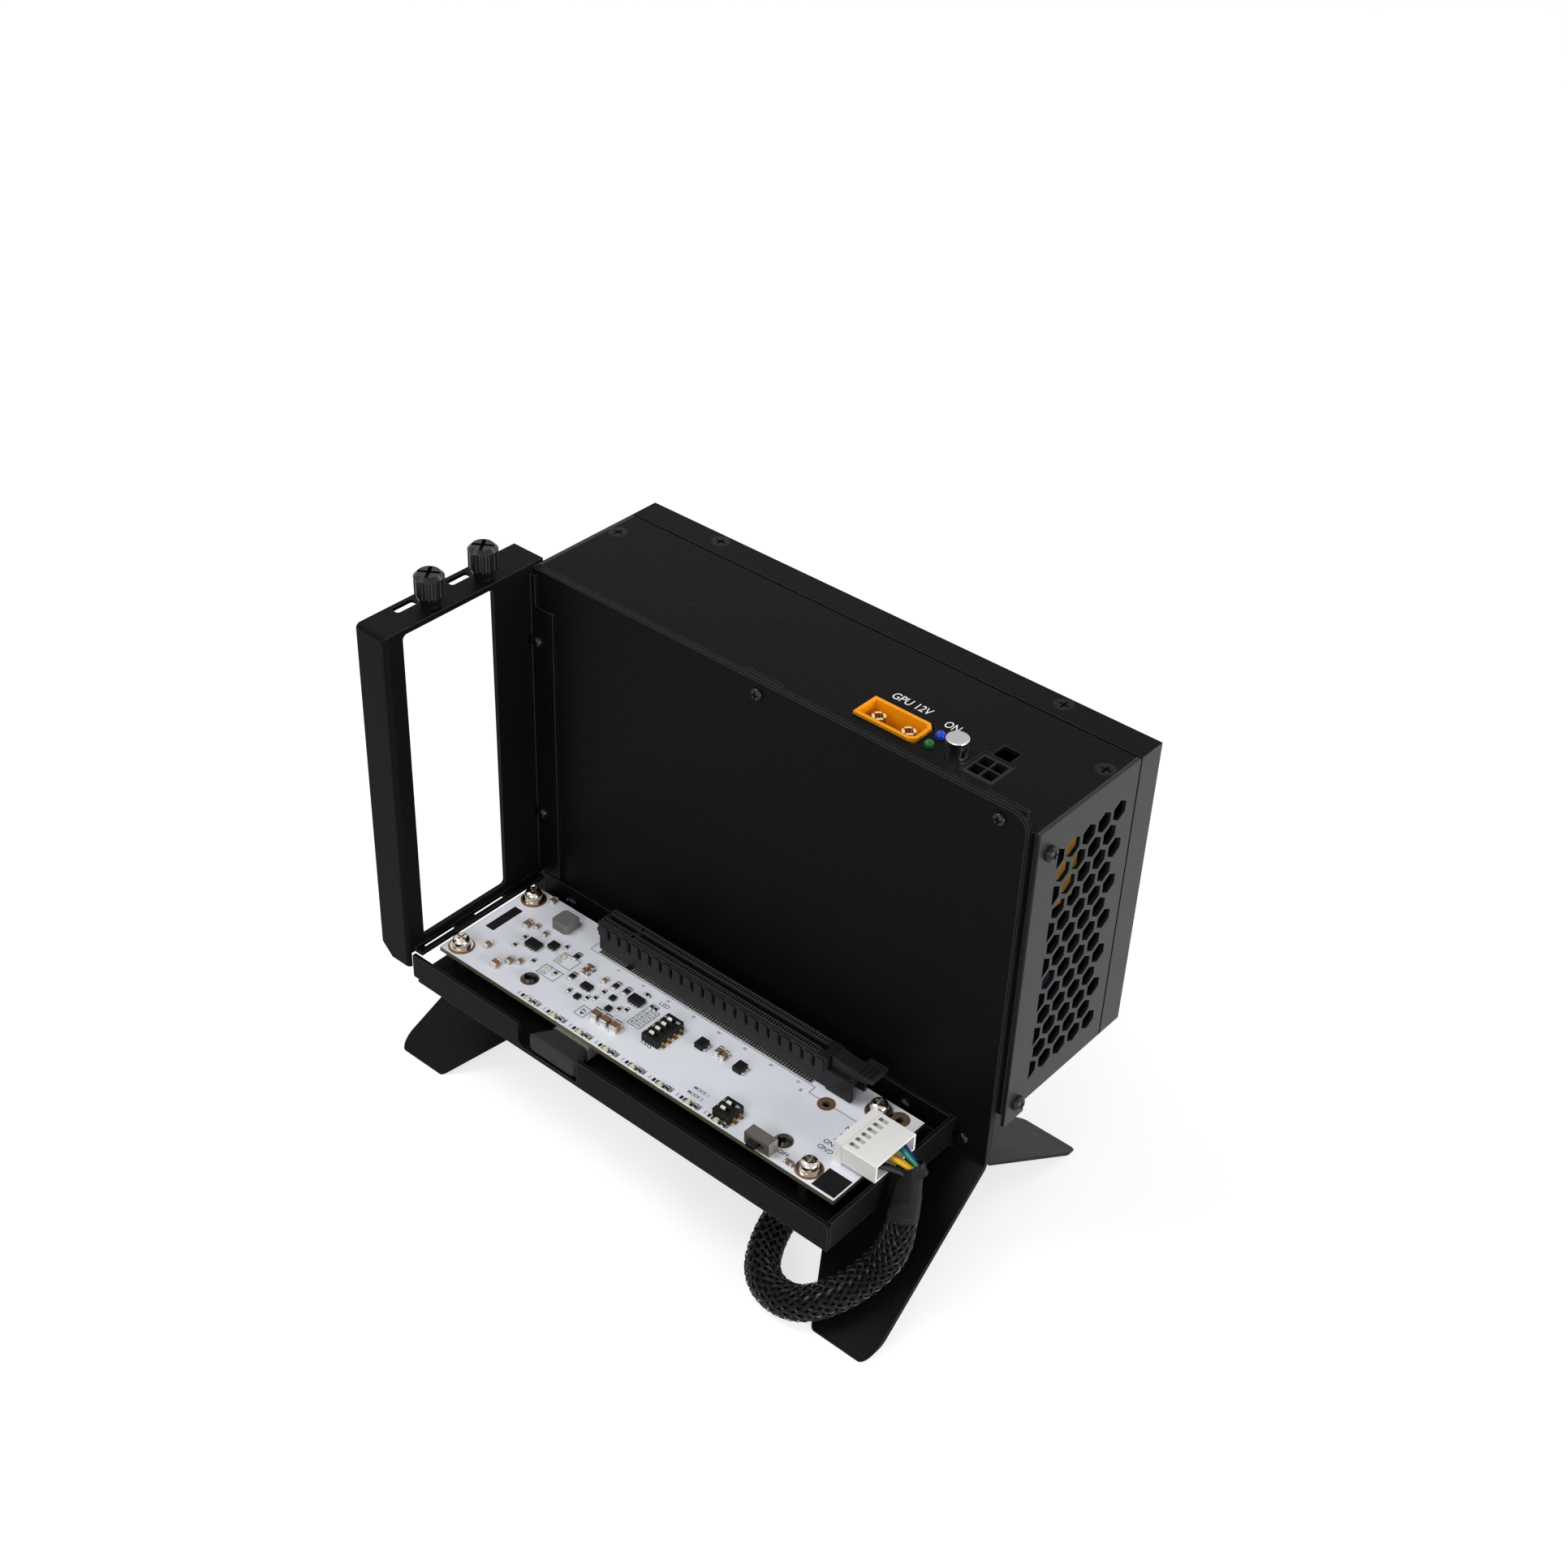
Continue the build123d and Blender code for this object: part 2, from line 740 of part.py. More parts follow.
header_left = 144.2
header_length = 2.8
header_front = 11.4
header_width = 17.4
header_height = 7.6
header_wall = 0.8
header_floor = 1.2
header_back = 0.8
plug_wall = 0.7
plug_slot_gap = 1.6
plug_left = 145.2
plug_right = 158.9
plug_lift = 1.4
plug_edge = 0.3
wire_count = 6
wire_pitch = 2.54
wire_r = 0.8
wire_start = 155.4
plug_slot = (0.9, 1.5, 1.6)
shrink_r = 6.0
shrink_wall = 0.5
shrink_neck = 5.2
shrink_mouth = 4.0
cable_r = 5.25
cable_entry = 2.0

header_mid = header_front + header_width / 2
cavity_low = header_floor
cavity_high = header_height - header_wall
body_left = header_left + header_length + fit
plug_height = header_height - plug_lift
wire_z = plug_lift + plug_height / 2
nose_z = (cavity_low + cavity_high) / 2
nose_size = (header_width - 2 * header_wall - 2 * fit, cavity_high - cavity_low - 2 * fit)
wire_rows = [header_mid + (i - (wire_count - 1) / 2) * wire_pitch for i in range(wire_count)]

with BuildPart() as power_header:
    with Locations(on_board(header_left + header_length / 2, header_mid, header_height / 2)):
        Box(header_length, header_width, header_height)
    cavity_x = header_left + header_back + header_length / 2
    with Locations(on_board(cavity_x, header_mid, nose_z)):
        Box(header_length, header_width - 2 * header_wall, cavity_high - cavity_low, mode=Mode.SUBTRACT)
save(power_header, "power_header")

with BuildPart() as power_plug:
    with Locations(on_board((body_left + plug_right) / 2, header_mid, wire_z)):
        Box(plug_right - body_left, header_width, plug_height)
    chamfer(power_plug.edges().filter_by(Axis.X).group_by(Axis.Z)[-1], plug_edge)
    with Locations(on_board((plug_left + body_left) / 2, header_mid, nose_z)):
        Box(body_left - plug_left, *nose_size)
    with Locations(on_board((wire_start + plug_right) / 2, header_mid, wire_z)):
        wire_room = (plug_right - wire_start, header_width - 2 * plug_wall, plug_height - 2 * plug_wall)
        Box(*wire_room, mode=Mode.SUBTRACT)
    slot_z = header_height - plug_slot[2] / 2
    slot_x = body_left + plug_slot_gap
    with Locations(*[on_board(slot_x, row, slot_z) for row in wire_rows]):
        Box(plug_slot[1], plug_slot[0], plug_slot[2], mode=Mode.SUBTRACT)
save(power_plug, "power_plug")

shrink_top = Vector(*on_board(164.1, 20.2, 4.4))
shrink_end = Vector(*on_board(165.9, 16.0, -11.2))
shrink_way = (shrink_end - shrink_top).normalized()
mouth_way = Vector(0.6, -0.1, -0.8).normalized()
bundle_step = (0.7, 1.15)
wire_bend = 2.6

with BuildPart() as plug_wires:
    for i, row in enumerate(wire_rows):
        side = -1 if i % 2 else 1
        offset = (i - (wire_count - 1) / 2) * bundle_step[1]
        end = shrink_top + mouth_way * (shrink_mouth - wire_r)
        end += Vector(side * bundle_step[0], offset, 0)
        start = Vector(*on_board(wire_start + wire_r, row, wire_z + side * bundle_step[0]))
        bend = end - mouth_way * ((end.Z - start.Z) / mouth_way.Z)
        with BuildLine():
            run = FilletPolyline(start, bend, end, radius=wire_bend)
        with BuildSketch(Plane(origin=run @ 0, z_dir=run % 0)):
            Circle(wire_r)
        sweep(path=run)
save(plug_wires, "plug_wires")

with BuildPart() as heat_shrink:
    with BuildSketch(Plane(origin=shrink_top, z_dir=mouth_way)):
        Circle(shrink_neck)
    with BuildSketch(Plane(origin=shrink_end, z_dir=shrink_way)):
        Circle(shrink_r)
    loft()
    with BuildSketch(Plane(origin=shrink_top, z_dir=mouth_way)):
        Circle(shrink_neck - shrink_wall)
    extrude(amount=shrink_mouth, mode=Mode.SUBTRACT)
    with BuildSketch(Plane(origin=shrink_end - shrink_way * cable_entry, z_dir=shrink_way)):
        Circle(cable_r + fit)
    extrude(amount=cable_entry, mode=Mode.SUBTRACT)
save(heat_shrink, "heat_shrink")

cable_rest = -board_height + cable_r + fit
cable_drop = 8.0
cable_up = -12.0
cable_top = 3.0
grommet_x = psu_right - 64.5
grommet_y = psu_front + 25.7
cable_points = [
    tuple(shrink_end - shrink_way * (cable_entry - fit)),
    tuple(shrink_end + shrink_way * cable_drop),
    on_board(164.3, 9.0, -26.0),
    on_board(159.0, -2.5, -32.0),
    on_board(149.5, -10.0, cable_rest),
    on_board(136.5, -8.5, cable_rest),
    on_board(128.0, 4.5, cable_rest),
    on_board(123.0, 24.0, cable_rest),
    on_board(112.0, 51.0, cable_rest),
    (grommet_x, grommet_y, board_height + cable_up),
    (grommet_x, grommet_y, psu_lift + cable_top),
]


def bend_radii(points):
    """Largest bend for every corner that leaves a straight run on both sides."""
    radii = []
    for before, corner, after in zip(points, points[1:], points[2:]):
        into = Vector(*corner) - Vector(*before)
        out = Vector(*after) - Vector(*corner)
        half_turn = radians(into.get_angle(out)) / 2
        radii.append(0.45 * min(into.length, out.length) / tan(half_turn))
    return radii


cable_bends = bend_radii(cable_points)
with BuildPart() as power_cable:
    with BuildLine():
        cable_run = FilletPolyline(*cable_points, radius=cable_bends)
    with BuildSketch(Plane(origin=cable_run @ 0, z_dir=cable_run % 0)):
        Circle(cable_r)
    sweep(path=cable_run)
save(power_cable, "power_cable")
print("cable bends", [round(r, 1) for r in cable_bends], "length", round(cable_run.length, 1))
print("cable volume", round(power_cable.part.volume), "tube", round(pi * cable_r**2 * cable_run.length))

grommet_rim = 2.2
grommet_lip = 1.6
with BuildPart() as cable_grommet:
    with BuildSketch(Plane.XY.offset(psu_lift - grommet_lip)):
        with Locations((grommet_x, grommet_y)):
            Circle(cable_r + fit + grommet_rim)
            Circle(cable_r + fit, mode=Mode.SUBTRACT)
    extrude(amount=grommet_lip)
    with BuildSketch(Plane.XY.offset(psu_lift)):
        with Locations((grommet_x, grommet_y)):
            Circle(cable_r + fit + grommet_rim / 2)
            Circle(cable_r + fit, mode=Mode.SUBTRACT)
    extrude(amount=sheet)
    with BuildSketch(Plane.XY.offset(psu_lift + sheet)):
        with Locations((grommet_x, grommet_y)):
            Circle(cable_r + fit + grommet_rim)
            Circle(cable_r + fit, mode=Mode.SUBTRACT)
    extrude(amount=grommet_lip)
save(cable_grommet, "cable_grommet")


# Small parts soldered to the board: place x, place y, length, width, height
# Their rows are drawn for the layout width and spread with the board

layout_width = 40.0
row_scale = board_width / layout_width

chips = [
    (20.5, 19.3, 4.8, 4.8, 1.5),
    (25.3, 23.0, 2.8, 4.2, 1.3),
    (45.5, 16.6, 3.6, 3.6, 1.1),
    (46.4, 11.6, 1.7, 2.9, 1.0),
    (54.6, 18.2, 1.7, 2.9, 1.0),
    (60.6, 22.0, 4.6, 4.6, 1.5),
    (56.8, 14.0, 1.7, 2.9, 1.0),
    (87.5, 20.9, 4.4, 3.6, 2.0),
    (102.0, 21.0, 4.4, 3.6, 2.0),
]
capacitors = [
    (56.6, 9.3, 2.6, 3.4, 2.4),
    (60.5, 9.3, 2.6, 3.4, 2.4),
    (64.4, 9.3, 2.6, 3.4, 2.4),
    (92.9, 22.3, 1.5, 3.2, 1.5),
    (95.3, 22.0, 1.5, 3.2, 1.5),
    (10.0, 38.4, 1.7, 2.6, 1.2),
    (12.2, 25.0, 2.0, 3.0, 1.4),
    (15.0, 26.4, 1.2, 2.0, 0.9),
    (19.4, 25.5, 1.3, 2.2, 1.0),
    (10.3, 10.2, 1.8, 3.0, 1.2),
    (18.4, 5.6, 2.4, 3.2, 1.6),
    (20.4, 9.4, 1.8, 2.8, 1.4),
    (22.9, 11.3, 1.4, 2.4, 1.2),
    (40.5, 23.4, 2.6, 1.6, 1.3),
    (40.6, 21.2, 2.4, 1.6, 1.3),
    (47.4, 22.4, 1.2, 2.2, 1.0),
    (136.2, 2.4, 2.6, 1.5, 1.2),
]
resistors = [
    (33.6, 24.6, 1.8, 3.2, 0.6),
    (38.9, 17.4, 1.8, 3.2, 0.6),
    (55.4, 23.4, 1.8, 3.2, 0.6),
    (51.4, 23.0, 1.7, 3.4, 0.6),
    (50.6, 18.6, 1.0, 1.8, 0.5),
    (42.6, 12.2, 1.0, 1.8, 0.5),
    (48.8, 13.4, 1.0, 1.8, 0.5),
    (59.0, 16.2, 1.0, 1.8, 0.5),
    (60.9, 17.4, 1.0, 1.8, 0.5),
    (61.0, 26.4, 1.8, 1.0, 0.5),
    (65.4, 23.4, 1.0, 1.8, 0.5),
    (67.0, 23.4, 1.0, 1.8, 0.5),
    (28.3, 25.6, 1.0, 1.8, 0.5),
    (25.4, 14.4, 1.0, 1.8, 0.5),
    (16.0, 15.8, 1.0, 1.8, 0.5),
    (15.6, 20.4, 1.0, 1.8, 0.5),
    (34.2, 14.8, 1.0, 1.8, 0.5),
    (50.6, 15.0, 1.0, 1.8, 0.5),
]
lights = [(31.0, 21.4, 1.0, 1.8, 0.8), (31.2, 14.8, 1.0, 1.8, 0.8)]
edge_first = 36.4
edge_pitch = 10.63
edge_count = 8
edge_y = 1.2
edge_places = [edge_first + i * edge_pitch for i in range(edge_count)]
lights += [(x, edge_y, 2.0, 1.3, 0.9) for x in edge_places]
resistors += [(x + 2.6, edge_y, 0.9, 1.7, 0.6) for x in edge_places]

for name, rows in {
    "board_chips": chips,
    "board_capacitors": capacitors,
    "board_resistors": resistors,
    "board_leds": lights,
}.items():
    with BuildPart() as trim:
        for x, y, length, width, height in rows:
            with Locations(on_board(x, y * row_scale, height / 2)):
                Box(length, width, height)
    save(trim, name)

inductor_place = (20.9, board_width - 7.4)
inductor_size = (6.9, 6.9, 3.0)
inductor_corner = 1.1
with BuildPart() as inductor:
    with Locations(on_board(*inductor_place, inductor_size[2] / 2)):
        Box(*inductor_size)
    chamfer(inductor.edges().filter_by(Axis.Z), inductor_corner)
    fillet(inductor.edges().group_by(Axis.Z)[-1], 0.5)
save(inductor, "inductor")


# Data port under the front edge of the board and the plug that closes it

port_x = 56.0
port_length = 14.0
port_front = -1.0
port_depth = 12.0
port_top = -board_thick
port_height = 5.2
mouth = (12.4, 8.0, 3.6)
nose = (12.0, 6.5, 3.2)
grip_front = -8.7
grip_start = -1.2
grip_narrow = (13.0, 4.6)
grip_wide = (19.0, 6.4)
grip_lift = 0.5
grip_bevel = 0.8
grip_corner = 1.6
port_z = port_top - port_height / 2

with BuildPart() as data_port:
    with Locations(on_board(port_x, port_front + port_depth / 2, port_z)):
        Box(port_length, port_depth, port_height)
    fillet(data_port.edges().filter_by(Axis.Y), 1.0)
    with Locations(on_board(port_x, port_front + mouth[1] / 2, port_z)):
        Box(*mouth, mode=Mode.SUBTRACT)
save(data_port, "data_port")

with BuildPart() as dust_plug:
    nose_back = grip_start + nose[1]
    with Locations(on_board(port_x, (grip_start + nose_back) / 2, port_z)):
        Box(*nose)
    grip_tip = [side - 2 * grip_bevel for side in grip_wide]
    sections = [(grip_start, grip_narrow), (grip_front + grip_bevel, grip_wide), (grip_front, grip_tip)]
    for y, (length, height) in sections:
        place = on_board(port_x, y, port_z + grip_lift)
        with BuildSketch(Plane(origin=place, x_dir=(1, 0, 0), z_dir=(0, -1, 0))):
            RectangleRounded(length, height, grip_corner)
    loft(ruled=True)
save(dust_plug, "dust_plug")


# Power box: folded body, back cover and two end plates

box_left = psu_left + sheet
box_right = psu_right - sheet
front_inner = psu_front + sheet
flange_depth = 11.0
lower_flange = 8.0
flange_length = 10.0
lip_overlap = 8.0
lip_end_gap = 14.0
lip_setback = 1.0
skin = sheet + fit
upper_layer = (psu_top - 2 * sheet - fit, psu_top - skin)
lower_layer = (psu_lift + skin, psu_lift + 2 * sheet + fit)
tab_rows = stand_screws[:2]
long_tab = stand_screws[2]

# Fan and inlet on the left end: the fan hangs from the top, clear of the inlet under it
fan_size = 40.0
fan_depth = 20.0
fan_bore = 18.8
fan_pitch = 32.0
fan_drop = 36.5
fan_y = psu_front + 24.5
inlet_cut = (27.6, 20.6)
inlet_rim = (31.0, 24.5)
inlet_rise = 20.0
inlet_y = fan_y
inlet_z = psu_lift + inlet_rise
inlet_gap = 1.0
fan_z = max(psu_top - fan_drop, inlet_z + inlet_rim[1] / 2 + inlet_gap + fan_size / 2)
flange_gap = 2.5
upper_flange = psu_top - fan_z - fan_size / 2 - flange_gap

# Places on the top face, from the right end and the front face
socket_x = psu_right - 58.15
socket_y = psu_front + 14.6
socket_size = (20.5, 9.8)
socket_corner = 1.8
green_place = (psu_right - 44.4, psu_front + 12.0)
blue_place = (psu_right - 44.7, psu_front + 17.3)
led_r = 1.5
button_x = psu_right - 36.3
button_y = psu_front + 13.1
button_r = 3.25
four_x = psu_right - 27.05
four_y = psu_front + 14.6
four_size = (10.0, 10.6)
latch_cut = (5.7, 5.5)
latch_y = psu_front + 23.0

# Screws that close the box
sink_r = 2.8
sink_depth = 1.1
cover_screw_y = psu_back - 3.8
cover_screws = [(psu_left + 29.9, cover_screw_y), (psu_right - 29.5, cover_screw_y)]
flange_screw_y = psu_front + 35.2
flange_screw_inset = 3.0 + sheet
flange_screws = [
    (psu_left + flange_screw_inset, flange_screw_y),
    (psu_right - flange_screw_inset, flange_screw_y),
]
end_screw_y = psu_front + 5.5
low_end_screw = 1.7
end_screw_heights = (psu_top - 0.6 * upper_flange, psu_lift + low_end_screw)
grommet_hole = cable_r + fit + grommet_rim / 2 + fit


def sink_cuts(places):
    """Cut countersunk holes through the top and bottom skins."""
    with Locations(*[(x, y, psu_top - sink_depth / 2) for x, y in places]):
        Cone(screw_hole, sink_r + fit, sink_depth, mode=Mode.SUBTRACT)
    with Locations(*[(x, y, psu_lift + sink_depth / 2) for x, y in places]):
        Cone(sink_r + fit, screw_hole, sink_depth, mode=Mode.SUBTRACT)
    with Locations(*[(x, y, psu_mid) for x, y in places]):
        Cylinder(screw_hole, psu_height, mode=Mode.SUBTRACT)


def end_cuts():
    """Cut the holes for the screws that hold the end plates."""
    with Locations(*[Location((plate_mid, end_screw_y, z), (0, 90, 0)) for z in end_screw_heights]):
        Cylinder(screw_hole, psu_length, mode=Mode.SUBTRACT)


with BuildPart() as psu_body:
    span_box((box_left, box_right), (psu_front, front_inner), (psu_lift, psu_top))
    span_box((box_left, box_right), (psu_front, seam_y), (psu_top - sheet, psu_top))
    span_box((box_left, box_right), (psu_front, seam_y), (psu_lift, psu_lift + sheet))
    for x, _ in tab_rows:
        tab = (x - tab_width / 2, x + tab_width / 2)
        span_box(tab, (psu_front, front_inner), (psu_top - sheet, plate_top))
    tab = (long_tab[0] - tab_width / 2, long_tab[0] + tab_width / 2)
    span_box(tab, (psu_front, front_inner), (leg_height + tab_lift, psu_lift + sheet))
    for inner, outer in ((box_left + fit, box_left + skin), (box_right - skin, box_right - fit)):
        for ends in ((psu_top - upper_flange, psu_top), (psu_lift, psu_lift + lower_flange)):
            span_box((inner, outer), (psu_front, psu_front + flange_depth), ends)
    for low, high in (upper_layer, lower_layer):
        span_box(
            (box_left + lip_end_gap, box_right - lip_end_gap),
            (seam_y - lip_overlap, psu_back - sheet - fit),
            (low, high),
        )
        span_box(
            (box_left + lip_end_gap, box_right - lip_end_gap),
            (seam_y - lip_overlap, seam_y - lip_setback),
            (low - fit, high + fit),
        )
    with BuildSketch(Plane.XY.offset(psu_top)):
        with Locations((socket_x, socket_y)):
            Rectangle(socket_size[0] + 2 * fit, socket_size[1] + 2 * fit)
        with Locations((four_x, four_y)):
            Rectangle(four_size[0] + 2 * fit, four_size[1] + 2 * fit)
        with Locations((four_x, latch_y)):
            Rectangle(*latch_cut)
        with Locations((button_x, button_y)):
            Circle(button_r + slide_fit)
        with Locations(green_place, blue_place):
            Circle(led_r + fit)
    extrude(amount=-sheet, mode=Mode.SUBTRACT)
    with BuildSketch(Plane.XY.offset(psu_lift)):
        with Locations((grommet_x, grommet_y)):
            Circle(grommet_hole)
    extrude(amount=sheet, mode=Mode.SUBTRACT)
    with Locations(*[Location((x, psu_front, z), (90, 0, 0)) for x, z in stand_screws]):
        Cylinder(screw_hole, 4 * sheet, mode=Mode.SUBTRACT)
    sink_cuts(flange_screws)
    with Locations(*[(x, y, psu_mid) for x, y in cover_screws]):
        Cylinder(screw_hole, psu_height, mode=Mode.SUBTRACT)
    end_cuts()
save(psu_body, "psu_body")

with BuildPart() as psu_back_cover:
    span_box((psu_left, psu_right), (seam_y + seam, psu_back), (psu_lift, psu_top))
    span_box(
        (psu_left + sheet, psu_right - sheet),
        (seam_y + seam, psu_back - sheet),
        (psu_lift + sheet, psu_top - sheet),
        mode=Mode.SUBTRACT,
    )
    fillet(psu_back_cover.edges().group_by(Axis.Y)[-1], 0.5)
    sink_cuts(cover_screws)
save(psu_back_cover, "psu_back_cover")

vent_row_step = vent_pitch * sqrt(3) / 2
vent_first = psu_front + 16.9
vent_mid = psu_mid - 1.0
plate_edge = psu_front + 0.4
end_flange = (psu_front + 24.0, seam_y - 1.5)


def end_plate(outer, inner):
    """Flat end plate with a front ear below the box and two folded flanges, without its openings."""
    skin_x = sorted((outer, inner))
    flange_x = sorted((outer, inner + (1 if inner > outer else -1) * flange_length))
    span_box(skin_x, (plate_edge, seam_y), (psu_lift, psu_top))
    span_box(skin_x, (plate_edge, plate_edge + end_ear_width), (psu_lift - end_ear, psu_lift))
    for layer in (upper_layer, lower_layer):
        span_box(flange_x, end_flange, layer)
    with Locations(*[(x, y, psu_mid) for x, y in flange_screws]):
        Cylinder(screw_hole, psu_height, mode=Mode.SUBTRACT)
    end_cuts()


with BuildPart() as psu_vent_end:
    end_plate(psu_right, box_right)
    with BuildSketch(Plane.YZ.offset(psu_right)):
        for row in range(vent_rows):
            short_row = row % 2
            first = vent_first - short_row * vent_pitch / 2
            height = vent_mid + (row - (vent_rows - 1) / 2) * vent_row_step
            places = [(first + column * vent_pitch, height) for column in range(vent_columns)]
            with Locations(*places):
                RegularPolygon(vent_hole / 2, 6, major_radius=False, rotation=30)
    extrude(amount=-sheet, mode=Mode.SUBTRACT)
save(psu_vent_end, "psu_vent_end")

spoke_width = 1.6
spoke_reach = 0.5
finger_rings = (8.0, 13.0)

with BuildPart() as psu_inlet_end:
    end_plate(psu_left, box_left)
    with BuildSketch(Plane.YZ.offset(psu_left)):
        with Locations((fan_y, fan_z)):
            Circle(fan_bore)
            with GridLocations(fan_pitch, fan_pitch, 2, 2):
                Circle(screw_hole)
        with Locations((inlet_y, inlet_z)):
            Rectangle(inlet_cut[0] + 2 * fit, inlet_cut[1] + 2 * fit)
    extrude(amount=sheet, mode=Mode.SUBTRACT)
    with BuildSketch(Plane.YZ.offset(psu_left)):
        with Locations((fan_y, fan_z)):
            for ring in finger_rings:
                Circle(ring + spoke_width / 2)
                Circle(ring - spoke_width / 2, mode=Mode.SUBTRACT)
    extrude(amount=sheet)
    with BuildSketch(Plane.YZ.offset(psu_left)):
        with Locations((fan_y, fan_z)):
            for turn in (45, -45):
                Rectangle(2 * fan_bore + 2 * spoke_reach, spoke_width, rotation=turn)
    extrude(amount=sheet)
save(psu_inlet_end, "psu_inlet_end")

sunk_head = [(sink_r, 0), (screw_r + fit, -sink_depth)]
sunk_tail = 1.0
sunk_screw = turned_screw(sunk_head, screw_r, 2 * sheet + sunk_tail)
with BuildPart() as psu_screws:
    for x, y in cover_screws + flange_screws:
        with Locations(Location((x, y, psu_top)), Location((x, y, psu_lift), (180, 0, 0))):
            add(sunk_screw)
    for z in end_screw_heights:
        with Locations(
            Location((psu_right, end_screw_y, z), (0, 90, 0)),
            Location((psu_left, end_screw_y, z), (0, -90, 0)),
        ):
            add(end_screw)
save(psu_screws, "psu_screws")


# Sockets, lights and button on the top of the power box

socket_proud = 0.8
socket_depth = 14.0
socket_wall = 1.1
socket_recess = 11.0
socket_pin_pitch = 10.2
socket_pin_r = 2.0
socket_pin_length = 9.4
pin_split = 0.5
pin_bore_r = 1.2
socket_top = psu_top + socket_proud
corner_share = 2 - sqrt(2)


def socket_outline(inset):
    """Outline of the output socket: a box with two cut corners on its right end."""
    half_x = socket_size[0] / 2 - inset
    half_y = socket_size[1] / 2 - inset
    cut = socket_corner - inset * corner_share
    return [
        (socket_x - half_x, socket_y - half_y),
        (socket_x + half_x - cut, socket_y - half_y),
        (socket_x + half_x, socket_y - half_y + cut),
        (socket_x + half_x, socket_y + half_y - cut),
        (socket_x + half_x - cut, socket_y + half_y),
        (socket_x - half_x, socket_y + half_y),
    ]


with BuildPart() as dc_output_socket:
    with BuildSketch(Plane.XY.offset(socket_top)):
        Polygon(*socket_outline(0), align=None)
    extrude(amount=-socket_proud - socket_depth)
    with BuildSketch(Plane.XY.offset(socket_top)):
        Polygon(*socket_outline(socket_wall), align=None)
    extrude(amount=-socket_recess, mode=Mode.SUBTRACT)
save(dc_output_socket, "dc_output_socket")

four_depth = 12.0
four_sink = 0.3
cell_size = 3.7
cell_pitch = 4.3
cell_depth = 9.5
with BuildPart() as four_pin_socket:
    top = psu_top - four_sink
    span_box(
        (four_x - four_size[0] / 2, four_x + four_size[0] / 2),
        (four_y - four_size[1] / 2, four_y + four_size[1] / 2),
        (psu_top - four_depth, top),
    )
    with Locations((four_x, four_y, top - cell_depth / 2)):
        with GridLocations(cell_pitch, cell_pitch, 2, 2):
            Box(cell_size, cell_size, cell_depth, mode=Mode.SUBTRACT)
save(four_pin_socket, "four_pin_socket")

pin_size = 1.1
pin_height = 6.5
with BuildPart() as socket_pins:
    base = socket_top - socket_recess
    with BuildSketch(Plane.XY.offset(base)):
        with Locations((socket_x, socket_y)):
            with GridLocations(socket_pin_pitch, 1, 2, 1):
                Circle(socket_pin_r)
    extrude(amount=socket_pin_length)
    with BuildSketch(Plane.XY.offset(base + socket_pin_length)):
        with Locations((socket_x, socket_y)):
            with GridLocations(socket_pin_pitch, 1, 2, 1):
                Circle(pin_bore_r)
                Rectangle(2 * socket_pin_r, pin_split)
                Rectangle(pin_split, 2 * socket_pin_r)
    extrude(amount=-socket_pin_length / 2, mode=Mode.SUBTRACT)
    with Locations((four_x, four_y, psu_top - four_sink - cell_depth + pin_height / 2)):
        with GridLocations(cell_pitch, cell_pitch, 2, 2):
            Box(pin_size, pin_size, pin_height)
save(socket_pins, "socket_pins")

button_rise = 6.0
button_seat = 3.6
button_travel = 1.5
button_case = (8.0, 9.0, 8.0)
case_top = psu_top - sheet
with BuildPart() as button_body:
    with Locations((button_x, button_y, case_top - button_case[2] / 2)):
        Box(*button_case)
    with BuildSketch(Plane.XY.offset(case_top)):
        with Locations((button_x, button_y)):
            Circle(button_r + slide_fit)
    extrude(amount=-button_seat - button_travel - travel_room, mode=Mode.SUBTRACT)
save(button_body, "button_body")

with BuildPart() as power_button:
    with BuildSketch(Plane.XY.offset(case_top - button_seat)):
        with Locations((button_x, button_y)):
            Circle(button_r)
    extrude(amount=button_seat + sheet + button_rise)
    fillet(power_button.edges().group_by(Axis.Z)[-1], 0.5)
save(power_button, "power_button")

led_length = 5.0
for name, (x, y) in {"green_led": green_place, "blue_led": blue_place}.items():
    with BuildPart() as light:
        with Locations((x, y, psu_top + 0.2 - led_length / 2)):
            Cylinder(led_r, led_length)
        with Locations((x, y, psu_top + 0.2)):
            Sphere(led_r)
    save(light, name)


# Inside the power box: fan, inlet, circuit board and its large parts

hub_r = 9.5
rotor_r = 18.2
rotor_depth = 12.0
blade_count = 7
blade_thick = 1.2
blade_pitch = 38.0
blade_root = 0.5
motor_depth = 4.0
rotor_gap = 1.5
axle_r = 1.2
axle_length = 8.0
strut_width = 2.4
strut_reach = 0.4
fan_front = box_left + fit
fan_back = fan_front + fan_depth
rotor_mid = fan_front + rotor_gap + rotor_depth / 2
motor_x = fan_back - motor_depth

